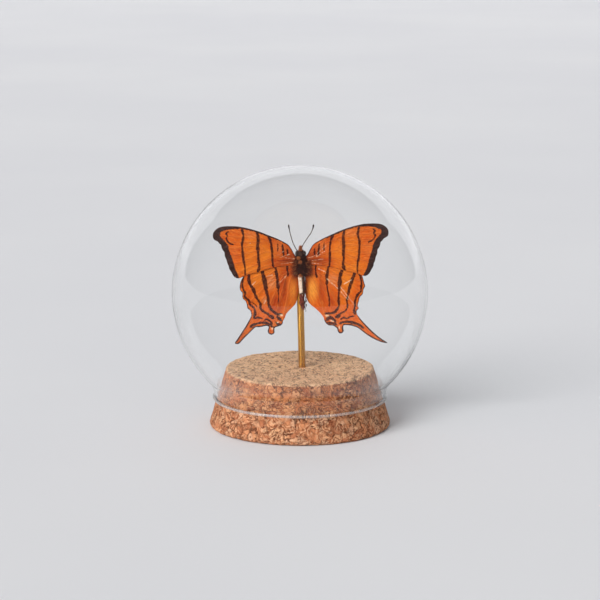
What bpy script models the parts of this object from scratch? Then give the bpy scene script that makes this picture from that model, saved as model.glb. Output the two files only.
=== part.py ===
"""A spread butterfly on a brass rod, standing on a round cork base under a blown glass globe.

Metres, +Z up. The origin is the centre of the cork's flat underside, and the butterfly's
back faces -Y. Each piece is its own object. The globe only rests on the cork.
"""

import bmesh
import bpy
from math import atan2, cos, pi, radians, sin, sqrt
from mathutils import Matrix, Vector

MM = 0.001
GAP = 0.3 * MM  # clearance between pieces that touch

# Glass globe
GLOBE_R = 50.0 * MM
GLOBE_CENTRE_Z = 52.35 * MM
GLASS_WALL = 1.1 * MM
NECK_R = 33.8 * MM  # outside of the neck
NECK_FILLET = 8.0 * MM  # concave sweep from the ball into the neck
LIP_R = 34.35 * MM  # fire-polished lip, a little proud of the neck
LIP_BEAD_R = 0.7 * MM
RIM_Z = 10.5 * MM

# Cork base
CORK_BOTTOM_R = 35.7 * MM
CORK_TOP_R = 29.4 * MM
CORK_HEIGHT = 22.9 * MM
CORK_EDGE = 0.8 * MM  # rounding of both edges

# Brass rod
ROD_R = 1.35 * MM
ROD_FOOT = Vector((0.82, 0.0, 22.9)) * MM  # where it leaves the cork
ROD_LEAN = radians(1.55)  # towards -X, going up
ROD_BURIED = 12.0 * MM
ROD_ABOVE = 38.8 * MM  # its top end sits in the underside of the thorax

# Butterfly
HINGE = Vector((0.5, -2.75, 63.0)) * MM  # between the wing roots
BODY_X = 0.6  # millimetres, the body's mid-line at the thorax
BODY_SLOPE = -0.061  # sideways drift of that line for each step up
DIHEDRAL = radians(4.0)  # wing tips forward of the roots
WING_THICKNESS = 0.4 * MM
FOREWING_Y = -0.35 * MM  # the forewings lie over the hindwings
HINDWING_Y = 0.35 * MM
FOREWING_TILT = {"left": radians(-0.7), "right": radians(1.5)}  # positive raises the tip

# Wing outlines in millimetres: (outwards from the body's axis, up from the hinge).
FOREWING = [
    (2.9, 5.4), (4.6, 8.6), (9.1, 11.6), (14.2, 13.9), (19.5, 15.7), (25.0, 16.9),  # leading edge
    (29.5, 16.8), (32.4, 15.9), (33.9, 14.2), (33.8, 12.3),  # apex
    (32.2, 10.9), (30.7, 8.3), (29.5, 5.1), (28.4, 1.6), (26.9, -1.6),  # outer margin
    (25.2, -3.3), (23.2, -3.3), (17.5, -1.5), (10.6, 0.3), (5.6, 0.9), (2.9, 0.8),
]
HINDWING = {
    "left": [
        (2.9, 1.2), (8.0, 2.6), (14.0, 2.4), (19.0, 0.2), (22.0, -2.2),  # leading edge
        (23.5, -5.4), (23.9, -8.6), (22.8, -11.0), (21.2, -14.6), (19.9, -17.0),  # outer margin
        (19.4, -18.5), (20.1, -20.2), (22.6, -24.4), (26.1, -29.9), (24.4, -30.2),  # tail, tip lost
        (21.2, -26.8), (18.1, -23.8), (15.4, -23.2), (13.0, -23.5),
        (12.9, -25.2), (11.5, -26.4), (10.6, -25.0), (10.8, -23.9),  # anal lobe
        (8.4, -22.9), (7.2, -21.3), (6.1, -18.6), (4.0, -16.4), (2.0, -14.2),
        (1.3, -11.0), (1.3, -7.6), (1.8, -4.2), (2.9, -2.2),  # margin beside the abdomen
    ],
    "right": [
        (2.9, 1.5), (8.0, 3.0), (14.0, 3.0), (19.5, 1.2), (22.8, -1.2),
        (24.2, -4.4), (24.6, -7.4), (23.6, -10.0), (22.2, -13.8), (22.1, -16.1),
        (21.8, -18.2), (23.6, -20.7), (26.2, -23.4), (29.4, -26.3), (33.7, -29.4), (30.2, -28.7),
        (25.6, -26.4), (21.6, -23.6), (18.6, -22.7), (16.5, -22.9),
        (16.2, -24.8), (15.2, -25.9), (14.2, -24.9), (13.6, -23.3),
        (10.9, -22.9), (9.2, -21.4), (8.0, -19.0), (5.3, -16.1), (3.1, -14.0),
        (2.4, -11.0), (2.3, -7.6), (2.4, -4.5), (2.9, -2.4),
    ],
}
OUTLINE_STEPS = 3  # smooth points between two outline points

# Paths of the slender parts, in millimetres.
ANTENNAE = {
    "left": [(-1.0, -2.2, 70.4), (-2.5, -3.0, 72.8), (-3.5, -3.8, 75.6), (-4.1, -4.4, 78.3), (-4.4, -5.0, 80.2)],
    "right": [(0.7, -2.1, 70.5), (1.9, -2.6, 73.2), (3.1, -3.2, 75.1), (4.5, -4.0, 77.6), (5.2, -5.0, 80.2)],
}
ANTENNA_RADII = [0.2, 0.17, 0.17, 0.2, 0.32]
LEGS = {  # root, knee, ankle and claw: (outwards, Y, Z)
    "midleg": [(2.7, -0.4, 63.0), (4.2, 1.6, 65.0), (3.3, 2.6, 60.0), (2.9, 2.2, 57.0)],
    "hindleg": [(2.7, -0.4, 61.2), (4.5, 1.4, 60.2), (3.2, 2.7, 54.8), (2.8, 2.4, 52.0)],
}
LEG_RADII = [0.3, 0.25, 0.2, 0.15]
ABDOMEN = [  # height, half width, sideways shift: its broken tip bends to the left
    (46.4, 0.25, -0.2), (47.6, 0.7, -0.5), (50.0, 0.9, -0.7), (53.0, 1.1, -0.4), (56.0, 1.3, -0.3),
    (58.2, 1.25, -0.3), (59.3, 0.8, -0.35),
]

SIDES = {"left": -1, "right": 1}


def clear_scene():
    for old in list(bpy.data.objects):
        bpy.data.objects.remove(old, do_unlink=True)


def material(name, colour, roughness, metallic=0.0, transmission=0.0):
    made = bpy.data.materials.new(name)
    made.use_nodes = True
    shader = made.node_tree.nodes["Principled BSDF"]
    shader.inputs["Base Color"].default_value = (*colour, 1.0)
    shader.inputs["Roughness"].default_value = roughness
    shader.inputs["Metallic"].default_value = metallic
    shader.inputs["Transmission Weight"].default_value = transmission
    return made


def add_object(name, bm, finish, smooth_angle=radians(40)):
    """Links the bmesh as a closed, outward-facing object."""
    mesh = bpy.data.meshes.new(name)
    bmesh.ops.recalc_face_normals(bm, faces=bm.faces)
    bm.to_mesh(mesh)
    bm.free()
    mesh.shade_smooth()
    mesh.set_sharp_from_angle(angle=smooth_angle)
    mesh.materials.append(finish)
    made = bpy.data.objects.new(name, mesh)
    bpy.context.scene.collection.objects.link(made)
    return made


def arc(centre, radius, start, end, steps):
    """Points (distance from the axis, height) of an arc, both ends included."""
    angles = [start + (end - start) * i / steps for i in range(steps + 1)]
    return [(centre[0] + radius * cos(a), centre[1] + radius * sin(a)) for a in angles]


def revolve(profile, segments):
    """A closed surface from a profile that starts and ends on the Z axis."""
    bm = bmesh.new()
    rings = []
    for r, z in profile:
        count = segments if r > 1e-7 else 1
        turns = [2 * pi * i / segments for i in range(count)]
        rings.append([bm.verts.new((r * cos(a), r * sin(a), z)) for a in turns])
    for upper, lower in zip(rings, rings[1:]):
        for i in range(segments):
            j = (i + 1) % segments
            corners = [upper[i % len(upper)], upper[j % len(upper)]]
            corners += [lower[j % len(lower)], lower[i % len(lower)]]
            bm.faces.new(list(dict.fromkeys(corners)))
    return bm


def loft(stations, sides):
    """A closed skin over elliptical sections (x, y, z, half width, half depth), bottom to top."""
    bm = bmesh.new()
    turns = [2 * pi * i / sides for i in range(sides)]
    rings = []
    for x, y, z, wide, deep in stations:
        rings.append([bm.verts.new((x + wide * cos(a), y + deep * sin(a), z)) for a in turns])
    for lower, upper in zip(rings, rings[1:]):
        for i in range(sides):
            j = (i + 1) % sides
            bm.faces.new((lower[i], lower[j], upper[j], upper[i]))
    bm.faces.new(rings[0])
    bm.faces.new(rings[-1])
    return bm


def egg(centre, half_size, levels):
    """Loft stations of an ellipsoid."""
    x, y, z = centre
    wide, deep, tall = half_size
    stations = []
    for i in range(levels):
        polar = pi * (i + 0.5) / levels
        stations.append((x, y, z - tall * cos(polar), wide * sin(polar), deep * sin(polar)))
    return stations


def smooth_closed(points, steps):
    """A Catmull-Rom curve through a closed list of points."""
    count = len(points)
    curve = []
    for i in range(count):
        a, b, c, d = (Vector(points[(i + k) % count]) for k in (-1, 0, 1, 2))
        for step in range(steps):
            t = step / steps
            bend = (2 * a - 5 * b + 4 * c - d) * t**2 + (3 * b - a - 3 * c + d) * t**3
            curve.append(0.5 * (2 * b + (c - a) * t + bend))
    return curve


def cut(target, cutter, operation="DIFFERENCE"):
    """Leaves a Boolean on the target. The cutter stays as a hidden wire helper."""
    cutter.hide_render = True
    cutter.display_type = "WIRE"
    boolean = target.modifiers.new(operation.title(), "BOOLEAN")
    boolean.operation = operation
    boolean.object = cutter


def rod_mesh(radius, below, above, segments=24):
    """A cylinder along Z, from below its foot to above it."""
    return revolve([(0.0, above), (radius, above), (radius, -below), (0.0, -below)], segments)


def place_on_rod_line(piece):
    piece.location = ROD_FOOT
    piece.rotation_euler = (0.0, -ROD_LEAN, 0.0)


def make_globe(finish):
    centre = (0.0, GLOBE_CENTRE_Z)
    drop = sqrt((GLOBE_R + NECK_FILLET) ** 2 - (NECK_R + NECK_FILLET) ** 2)
    fillet_centre = (NECK_R + NECK_FILLET, GLOBE_CENTRE_Z - drop)
    joint = atan2(-drop, fillet_centre[0])  # where the ball meets the fillet
    lip_centre = (LIP_R - LIP_BEAD_R, RIM_Z + LIP_BEAD_R)
    profile = arc(centre, GLOBE_R, pi / 2, joint, 18)
    profile += arc(fillet_centre, NECK_FILLET, joint + pi, pi, 3)[1:]
    profile += arc(lip_centre, LIP_BEAD_R, radians(50), -pi, 5)
    profile += arc(fillet_centre, NECK_FILLET + GLASS_WALL, pi, joint + pi, 3)
    profile += arc(centre, GLOBE_R - GLASS_WALL, joint, pi / 2, 16)[1:]
    profile[0] = (0.0, GLOBE_CENTRE_Z + GLOBE_R)
    profile[-1] = (0.0, GLOBE_CENTRE_Z + GLOBE_R - GLASS_WALL)
    return add_object("glass_dome", revolve(profile, 60), finish)


def make_cork(finish):
    edge = CORK_EDGE
    profile = [(0.0, CORK_HEIGHT)]
    profile += arc((CORK_TOP_R - edge, CORK_HEIGHT - edge), edge, pi / 2, 0.0, 3)
    profile += arc((CORK_BOTTOM_R - edge, edge), edge, 0.0, -pi / 2, 3)
    profile += [(0.0, 0.0)]
    cork = add_object("cork_base", revolve(profile, 72), finish)
    hole = add_object("rod_hole", rod_mesh(ROD_R + GAP, ROD_BURIED + GAP, 5 * MM), finish)
    place_on_rod_line(hole)
    cut(cork, hole)
    return cork


def make_rod(finish):
    rod = add_object("brass_rod", rod_mesh(ROD_R, ROD_BURIED, ROD_ABOVE), finish)
    place_on_rod_line(rod)
    return rod


def make_wing(name, outline, side, depth, tilt, finish):
    """A flat plate in the XZ plane, turned forward about the hinge."""
    bm = bmesh.new()
    corners = [(u * side * MM, 0.0, w * MM) for u, w in smooth_closed(outline, OUTLINE_STEPS)]
    bm.faces.new([bm.verts.new(corner) for corner in corners])
    wing = add_object(name, bm, finish)
    plate = wing.modifiers.new("Thickness", "SOLIDIFY")
    plate.thickness = WING_THICKNESS
    plate.offset = 0.0
    turn = Matrix.Rotation(-side * DIHEDRAL, 4, "Z") @ Matrix.Rotation(-side * tilt, 4, "Y")
    wing.matrix_world = Matrix.Translation(HINGE + Vector((0.0, depth, 0.0))) @ turn
    return wing


def make_tube(name, points, radii, finish):
    """A tapering tube with closed ends along a smooth path."""
    curve = bpy.data.curves.new(name, "CURVE")
    curve.dimensions = "3D"
    curve.bevel_depth = 1.0 * MM
    curve.bevel_resolution = 1
    curve.use_fill_caps = True
    spline = curve.splines.new("POLY")
    spline.points.add(len(points) - 1)
    for knot, point, radius in zip(spline.points, points, radii):
        knot.co = (*(Vector(point) * MM), 1.0)
        knot.radius = radius
    curve.materials.append(finish)
    tube = bpy.data.objects.new(name, curve)
    bpy.context.scene.collection.objects.link(tube)
    return tube


def body_x(z):
    """The body's mid-line at height z, both in millimetres."""
    return BODY_X + BODY_SLOPE * (z - HINGE.z / MM)


def make_body(scales, eye_finish):
    def scaled(stations):
        return [[value * MM for value in station] for station in stations]

    def body_piece(name, stations, finish=scales, sides=16):
        return add_object(name, loft(scaled(stations), sides), finish)

    thorax = body_piece("thorax", egg((body_x(63.0), -1.6, 62.9), (2.35, 2.6, 3.2), 10))
    socket = add_object("rod_socket", rod_mesh(ROD_R + GAP, 0.0, ROD_ABOVE + GAP), scales)
    place_on_rod_line(socket)
    cut(thorax, socket)

    head = body_piece("head", egg((body_x(68.2), -2.3, 68.2), (1.45, 1.5, 1.75), 10))
    for side, sign in SIDES.items():
        centre = (body_x(68.8) + sign * 1.35, -2.5, 68.8)
        eye = body_piece("eye_" + side, egg(centre, (1.0, 1.0, 1.0), 8), eye_finish, 14)
        cut(head, eye, "UNION")

    body_piece("abdomen", [(body_x(z) + shift, -2.95, z, wide, 0.92 * wide) for z, wide, shift in ABDOMEN])


def make_slender_parts(dark, palp_finish):
    for side, sign in SIDES.items():
        make_tube("antenna_" + side, ANTENNAE[side], ANTENNA_RADII, dark)
        x = body_x(70.0)
        palp = [(x + sign * 0.45, -2.9, 70.2), (x + sign * 0.42, -3.1, 70.9), (x + sign * 0.34, -3.3, 71.6)]
        make_tube("palp_" + side, palp, [0.28, 0.26, 0.15], palp_finish)
        for leg, path in LEGS.items():
            points = [(BODY_X + sign * out, y, z) for out, y, z in path]
            make_tube(leg + "_" + side, points, LEG_RADII, dark)


def main():
    clear_scene()
    glass = material("clear_glass", (0.95, 0.98, 0.98), 0.02, transmission=1.0)
    cork = material("agglomerated_cork", (0.54, 0.30, 0.17), 0.9)
    brass = material("brass", (0.62, 0.38, 0.09), 0.3, metallic=1.0)
    membrane = material("orange_wing", (0.80, 0.22, 0.02), 0.7)
    scales = material("brown_body", (0.045, 0.022, 0.015), 0.8)
    dark = material("dark_horn", (0.02, 0.012, 0.01), 0.5)
    rust = material("rust_palp", (0.35, 0.10, 0.03), 0.8)

    make_globe(glass)
    make_cork(cork)
    make_rod(brass)
    for side, sign in SIDES.items():
        tilt = FOREWING_TILT[side]
        make_wing("forewing_" + side, FOREWING, sign, FOREWING_Y, tilt, membrane)
        make_wing("hindwing_" + side, HINDWING[side], sign, HINDWING_Y, 0.0, membrane)
    make_body(scales, dark)
    make_slender_parts(dark, rust)


main()
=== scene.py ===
"""Looks of a spread butterfly on a brass rod in a cork base, under a blown glass globe.

Lengths are in millimetres and become metres in mesh_object, except in the shaders, the lamps and
the camera. The front of the scene, where the camera stands, is -Y.
"""

from math import atan2, cos, pi, radians, sin, sqrt

import bpy
import numpy as np
from mathutils import Matrix, Vector, noise
from mathutils.geometry import delaunay_2d_cdt


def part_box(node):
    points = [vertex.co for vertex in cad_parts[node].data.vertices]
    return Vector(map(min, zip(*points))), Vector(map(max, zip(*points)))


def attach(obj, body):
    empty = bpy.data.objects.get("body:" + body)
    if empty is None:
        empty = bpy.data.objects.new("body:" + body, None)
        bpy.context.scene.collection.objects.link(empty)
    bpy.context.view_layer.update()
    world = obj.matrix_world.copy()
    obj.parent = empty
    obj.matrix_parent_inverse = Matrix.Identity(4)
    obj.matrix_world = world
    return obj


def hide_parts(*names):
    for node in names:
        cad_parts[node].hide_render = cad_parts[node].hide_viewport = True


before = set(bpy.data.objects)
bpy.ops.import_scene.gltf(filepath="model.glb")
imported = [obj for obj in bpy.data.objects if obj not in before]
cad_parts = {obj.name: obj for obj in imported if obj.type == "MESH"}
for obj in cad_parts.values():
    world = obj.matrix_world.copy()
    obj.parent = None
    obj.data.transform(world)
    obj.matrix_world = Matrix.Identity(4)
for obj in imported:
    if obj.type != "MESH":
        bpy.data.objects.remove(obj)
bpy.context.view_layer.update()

MM = 0.001
SIDES = {"left": -1, "right": 1}

# ---------------------------------------------------------------------------
# Driving sizes in millimetres
# ---------------------------------------------------------------------------


def box_mm(node):
    low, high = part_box(node)
    return np.array(low) / MM, np.array(high) / MM


GLOBE_LOW, GLOBE_HIGH = box_mm("glass_dome")
CORK_LOW, CORK_HIGH = box_mm("cork_base")
ROD_LOW, ROD_HIGH = box_mm("brass_rod")

GLOBE_R = (GLOBE_HIGH[0] - GLOBE_LOW[0]) / 2
GLOBE_CENTRE_Z = GLOBE_HIGH[2] - GLOBE_R
RIM_Z = GLOBE_LOW[2]
GLASS_WALL = 1.1
NECK_R = 33.8
NECK_FILLET = 8.0
LIP_R = 34.35
LIP_BEAD_R = 0.7
LIP_HEIGHT = 1.15  # the ground band at the mouth

CORK_BOTTOM_R = CORK_HIGH[0]
CORK_TOP_R = 29.4
CORK_HEIGHT = CORK_HIGH[2]
CORK_EDGE = 1.0
CORK_SPACING = 0.42  # between the mesh points of the cork's skin
CORK_SEGMENTS = 500
GLOBE_SEGMENTS = 192

ROD_R = 1.35
ROD_LEAN = radians(1.55)
ROD_FOOT = Vector((0.82, 0.0, CORK_HEIGHT))
ROD_TOP_Z = ROD_HIGH[2]

HINGE = Vector((0.5, -2.75, 63.0))
DIHEDRAL = radians(4.0)
BODY_X = 0.6  # the body leans a little: its middle drifts sideways as it rises
BODY_SLOPE = -0.061
WING_TILT = {"forewing_left": radians(-0.7), "forewing_right": radians(1.5)}
WING_SPACING = 0.2  # between the mesh points of a wing
OUTLINE_STEPS = 8  # curve points for each point of an outline
MEMBRANE = 0.11
LAYER = {"forewing": -0.3, "hindwing": 0.3}  # the forewings lie over the hindwings

# ---------------------------------------------------------------------------
# Wing design: (outwards from the body's axis, up from the hinge)
# ---------------------------------------------------------------------------

FOREWING_OUTLINE = [
    (1.0, 3.4), (2.6, 5.4), (3.8, 7.6), (4.9, 9.1), (6.3, 10.1), (9.1, 11.6), (12.3, 13.0),
    (16.6, 14.8), (20.5, 16.0), (24.5, 16.8), (28.4, 16.9),  # leading edge
    (30.9, 16.6), (32.6, 15.8), (33.7, 14.6), (34.0, 13.4), (33.8, 12.1),  # apex
    (33.0, 11.4), (32.2, 11.0), (31.6, 10.2), (31.0, 9.7), (30.8, 8.7), (30.4, 7.7), (29.7, 6.6),
    (29.6, 5.2), (29.0, 3.8), (28.7, 2.4), (28.2, 1.3), (28.0, 0.2), (27.3, -1.0), (26.6, -2.3),
    (25.9, -3.1), (24.8, -3.6), (23.6, -3.4),  # outer margin and its lower corner
    (21.5, -2.5), (17.5, -1.5), (13.6, -0.4), (10.6, 0.3), (7.6, 0.7), (5.0, 0.8), (2.5, 0.4),
    (1.0, 0.4),
]
FOREWING_BORDER = [  # inner limit of the dark border, from the leading edge round the apex
    (22.0, 17.2), (23.5, 16.2), (26.5, 16.1), (29.3, 15.6), (31.1, 14.7), (31.5, 13.4), (30.9, 12.3),
    (29.5, 10.8), (28.5, 9.0), (28.0, 6.9), (27.3, 4.9), (26.7, 2.8), (26.1, 0.7), (25.4, -1.3),
    (24.6, -2.9), (24.0, -4.4),
]
FOREWING_STRIPES = [  # half width, then the line
    (0.34, [(22.8, 15.9), (22.3, 12.9), (22.8, 10.1), (22.7, 6.9), (22.4, 3.8), (21.9, 1.0), (21.8, -2.4)]),
    (0.42, [(17.1, 14.9), (16.6, 11.9), (16.8, 9.0), (16.6, 6.4), (16.6, 3.6), (16.3, 1.2), (17.0, -1.4)]),
    (0.36, [(13.0, 13.4), (11.9, 11.0), (11.4, 8.4), (11.3, 5.6), (11.2, 3.2), (10.9, 0.5)]),
    (0.18, [(9.2, 10.2), (9.0, 8.4), (9.1, 6.7)]),
    (0.32, [(7.3, 9.4), (7.0, 7.2), (6.8, 5.0)]),
    (0.24, [(5.4, 7.5), (5.3, 6.3), (5.4, 5.1)]),
    (0.24, [(28.0, 14.9), (28.9, 14.1), (28.4, 13.2), (28.9, 12.2), (28.4, 11.0), (27.4, 10.2),
            (26.2, 9.8)]),
]
FOREWING_VEINS = [
    [(2.0, 4.4), (9.0, 10.6), (18.0, 14.6), (26.0, 16.4)],
    [(2.0, 4.0), (8.0, 8.6), (14.0, 11.4), (22.0, 14.2), (30.0, 15.2)],
    [(14.0, 11.4), (22.0, 12.6), (33.0, 13.2)],
    [(14.0, 11.4), (15.8, 10.4), (24.0, 10.8), (31.8, 10.6)],
    [(15.8, 10.4), (16.0, 9.2), (24.0, 8.6), (30.8, 8.2)],
    [(16.0, 9.2), (14.8, 7.8), (22.0, 6.2), (29.6, 5.0)],
    [(2.0, 3.4), (9.0, 5.2), (13.6, 6.6), (21.0, 3.8), (28.4, 1.4)],
    [(9.0, 5.2), (17.0, 1.9), (26.6, -2.4)],
    [(14.8, 7.8), (13.6, 6.6)],
    [(2.0, 2.6), (10.0, 1.9), (18.0, -0.3), (23.0, -2.6)],
]
FOREWING_ZONES = {  # centre, radii and strength of soft patches of colour
    "gold": [(19.7, 7.0, 3.2, 8.0, 0.7), (14.2, 5.5, 2.8, 6.5, 0.8), (20.0, 0.2, 6.0, 2.6, 0.8)],
    "rust": [(4.5, 5.0, 5.6, 4.8, 1.0), (10.0, 11.0, 6.0, 1.6, 0.6), (8.0, 2.6, 6.4, 2.2, 0.9)],
    "pale": [(19.5, 13.5, 3.5, 1.6, 0.35), (8.5, 8.0, 2.2, 2.4, 0.3), (26.0, 7.0, 2.0, 4.0, 0.12)],
    "cream": [],
    "shade": [(1.6, 2.6, 2.8, 4.2, 1.0), (5.6, 2.9, 3.6, 1.0, 0.85), (4.6, 4.8, 3.4, 0.5, 0.5),
              (7.0, 1.2, 3.0, 0.4, 0.4)],
}
FOREWING_WHITE = {  # scratches through the scales: half width, line
    "left": [
        (0.04, [(2.6, 3.6), (6.6, 4.2)]), (0.04, [(3.0, 2.2), (7.8, 1.7)]),
        (0.05, [(6.8, 6.8), (9.4, 5.0)]), (0.05, [(4.6, 5.4), (8.2, 4.4)]),
        (0.1, [(19.5, 10.3), (19.7, 10.2)]),
    ],
    "right": [
        (0.04, [(2.8, 3.8), (6.4, 5.0)]), (0.04, [(3.2, 1.9), (8.0, 1.3)]),
        (0.05, [(6.0, 4.2), (9.8, 6.8)]), (0.05, [(6.4, 5.6), (10.4, 9.0)]),
        (0.04, [(4.4, 2.8), (8.6, 3.4)]),
    ],
}

HINDWING_OUTLINE = {
    "left": [
        (1.0, 1.0), (5.0, 2.2), (10.0, 2.8), (15.0, 2.2), (19.5, 0.2), (21.9, -2.2),
        (22.8, -3.8), (23.6, -5.5), (23.9, -7.2), (23.7, -8.8), (22.9, -9.8), (22.9, -11.0),
        (22.7, -12.1), (21.6, -13.2), (21.2, -14.6), (20.9, -16.0), (19.9, -16.8), (19.5, -18.3),
        (19.7, -19.4), (21.4, -22.5), (23.2, -25.4), (24.9, -28.1), (25.9, -29.7),  # tail
        (25.6, -30.3), (24.3, -30.2), (22.8, -28.5), (20.8, -26.4), (18.1, -23.7),
        (16.6, -23.5), (15.2, -23.3), (13.9, -23.0), (12.7, -23.4),
        (13.1, -24.9), (12.8, -25.9), (11.6, -26.4), (10.5, -25.7), (10.5, -24.4),  # anal lobe
        (10.2, -23.7), (9.0, -23.3), (7.9, -22.9), (7.3, -22.2), (7.1, -21.1), (6.4, -19.9),
        (5.9, -18.4), (4.8, -17.2), (3.4, -15.8), (2.1, -14.3),
        (1.3, -11.8), (1.05, -9.0), (1.1, -6.5), (1.3, -4.0), (1.2, -1.5),
    ],
    "right": [
        (1.0, 1.2), (5.0, 2.6), (10.0, 3.3), (15.0, 2.9), (19.5, 1.1), (22.5, -1.2),
        (23.6, -2.8), (24.1, -4.4), (24.5, -5.9), (24.8, -7.1), (24.2, -8.4), (23.9, -10.2),
        (22.8, -11.5), (22.4, -13.1), (22.0, -14.7), (22.4, -16.0), (21.7, -16.8), (21.8, -18.3),
        (23.5, -20.5), (25.8, -23.0), (28.6, -25.7), (31.0, -27.6), (33.7, -29.4),  # tail
        (31.2, -29.1), (28.3, -27.9), (25.4, -26.2), (22.5, -24.0), (20.7, -23.2),
        (18.5, -22.7), (16.7, -22.8),
        (16.4, -23.7), (16.6, -25.0), (16.0, -25.7), (15.0, -25.8), (14.3, -25.0),  # anal lobe
        (14.0, -24.0), (12.9, -23.2), (12.0, -22.9), (10.8, -22.9), (9.6, -22.0), (9.0, -20.9),
        (8.6, -19.6), (7.3, -17.9), (5.3, -16.1), (3.2, -14.4),
        (2.2, -12.8), (1.5, -10.6), (1.3, -8.2), (1.4, -5.8), (1.4, -3.5), (1.2, -1.0),
    ],
}
HINDWING_STRIPES = {
    "left": [
        (0.42, [(20.4, -2.0), (20.2, -5.8), (18.8, -8.2), (17.4, -11.8)]),
        (0.3, [(17.4, -11.8), (15.9, -14.2), (16.0, -15.6), (14.9, -17.1), (12.7, -18.4)]),
        (0.5, [(15.6, 0.0), (14.4, -4.6), (13.7, -8.6)]),
        (0.34, [(13.7, -8.6), (13.0, -11.6), (12.6, -14.6), (11.4, -16.8), (9.2, -18.4), (7.6, -18.5)]),
        (0.38, [(10.2, 1.2), (9.4, -3.8), (9.0, -8.2)]),
        (0.16, [(9.0, -8.2), (8.8, -11.0), (9.0, -14.2)]),
        (0.3, [(5.6, 1.6), (5.4, -0.8), (5.2, -3.2)]),
        (0.34, [(19.9, -23.5), (18.7, -22.5), (16.7, -21.9), (14.2, -21.7), (12.2, -22.5), (11.2, -23.4)]),
        (0.24, [(18.6, -20.2), (17.0, -19.6), (15.2, -20.0)]),
        (0.28, [(14.5, -20.8), (13.7, -20.3), (12.5, -20.9), (11.4, -22.0)]),
        (0.42, [(12.6, -18.9), (11.6, -19.3), (10.7, -20.1)]),
        (0.14, [(19.2, -13.5), (18.0, -14.4), (17.2, -15.4)]),
        (0.3, [(22.4, -3.0), (23.0, -6.2), (22.6, -8.2), (21.8, -9.9), (22.0, -11.4), (20.4, -12.8),
                (20.0, -14.4), (18.5, -15.7), (18.0, -17.8), (18.5, -19.8)]),
        (0.4, [(9.3, -19.6), (8.3, -20.4), (7.6, -21.2)]),
        (0.3, [(9.9, -21.5), (8.9, -22.5), (7.8, -22.4)]),
    ],
    "right": [
        (0.4, [(21.2, -0.8), (20.6, -2.4), (19.6, -5.1), (18.8, -7.9), (18.2, -10.6)]),
        (0.24, [(18.2, -10.6), (17.8, -13.0), (18.1, -15.0), (17.3, -16.8), (15.7, -17.8), (14.0, -18.9)]),
        (0.46, [(16.2, 0.4), (15.2, -3.1), (15.0, -5.8), (14.7, -9.2)]),
        (0.32, [(14.7, -9.2), (14.5, -12.0), (14.7, -14.6), (14.0, -16.4), (12.3, -17.8), (9.2, -18.1)]),
        (0.36, [(10.6, 1.2), (10.0, -3.1), (9.9, -6.5)]),
        (0.22, [(9.9, -6.5), (10.5, -9.9), (10.9, -12.6), (10.9, -15.2)]),
        (0.28, [(5.6, 2.2), (5.6, -1.4), (6.1, -3.9)]),
        (0.32, [(15.0, -22.0), (16.3, -21.5), (18.4, -21.3), (20.4, -21.7), (22.4, -22.4), (24.2, -23.7)]),
        (0.26, [(15.4, -20.4), (16.7, -19.6), (17.7, -20.0), (19.0, -19.4), (20.4, -19.0)]),
        (0.5, [(13.7, -19.4), (15.1, -18.9)]),
        (0.32, [(22.6, -1.8), (23.4, -5.1), (23.3, -7.2), (23.2, -8.9), (22.0, -10.4), (21.3, -12.0),
                (20.9, -13.7), (21.0, -15.0), (20.7, -16.7), (21.0, -18.4)]),
        (0.44, [(9.9, -20.8), (11.2, -19.6), (12.4, -20.4), (13.4, -21.4)]),
        (0.3, [(10.4, -21.7), (12.2, -22.0), (13.9, -22.5)]),
    ],
}
HINDWING_PALE = {  # worn streaks and pale marks: half width, line
    "left": [
        (0.3, [(8.2, -18.7), (7.3, -18.9)]), (0.2, [(9.6, -21.9), (8.7, -21.5)]),
        (0.1, [(19.0, -6.6), (17.6, -5.2)]), (0.16, [(14.5, -14.2), (13.8, -12.6)]),
        (0.1, [(13.5, -3.4), (11.2, -2.8)]), (0.08, [(8.8, -6.2), (5.6, -3.0)]),
        (0.3, [(11.2, -23.9), (11.4, -24.3)]),
    ],
    "right": [
        (0.34, [(9.5, -18.9), (10.6, -19.0)]), (0.26, [(11.4, -20.9), (12.8, -21.3)]),
        (0.12, [(10.0, -4.3), (14.3, -8.2)]), (0.1, [(15.3, -7.5), (20.7, -14.4)]),
        (0.14, [(16.7, -6.3), (19.5, -4.6)]), (0.1, [(15.3, -9.2), (18.4, -12.6)]),
        (0.16, [(14.9, -22.9), (14.9, -24.2)]), (0.12, [(6.8, -0.4), (9.4, -1.6)]),
    ],
}
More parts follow.
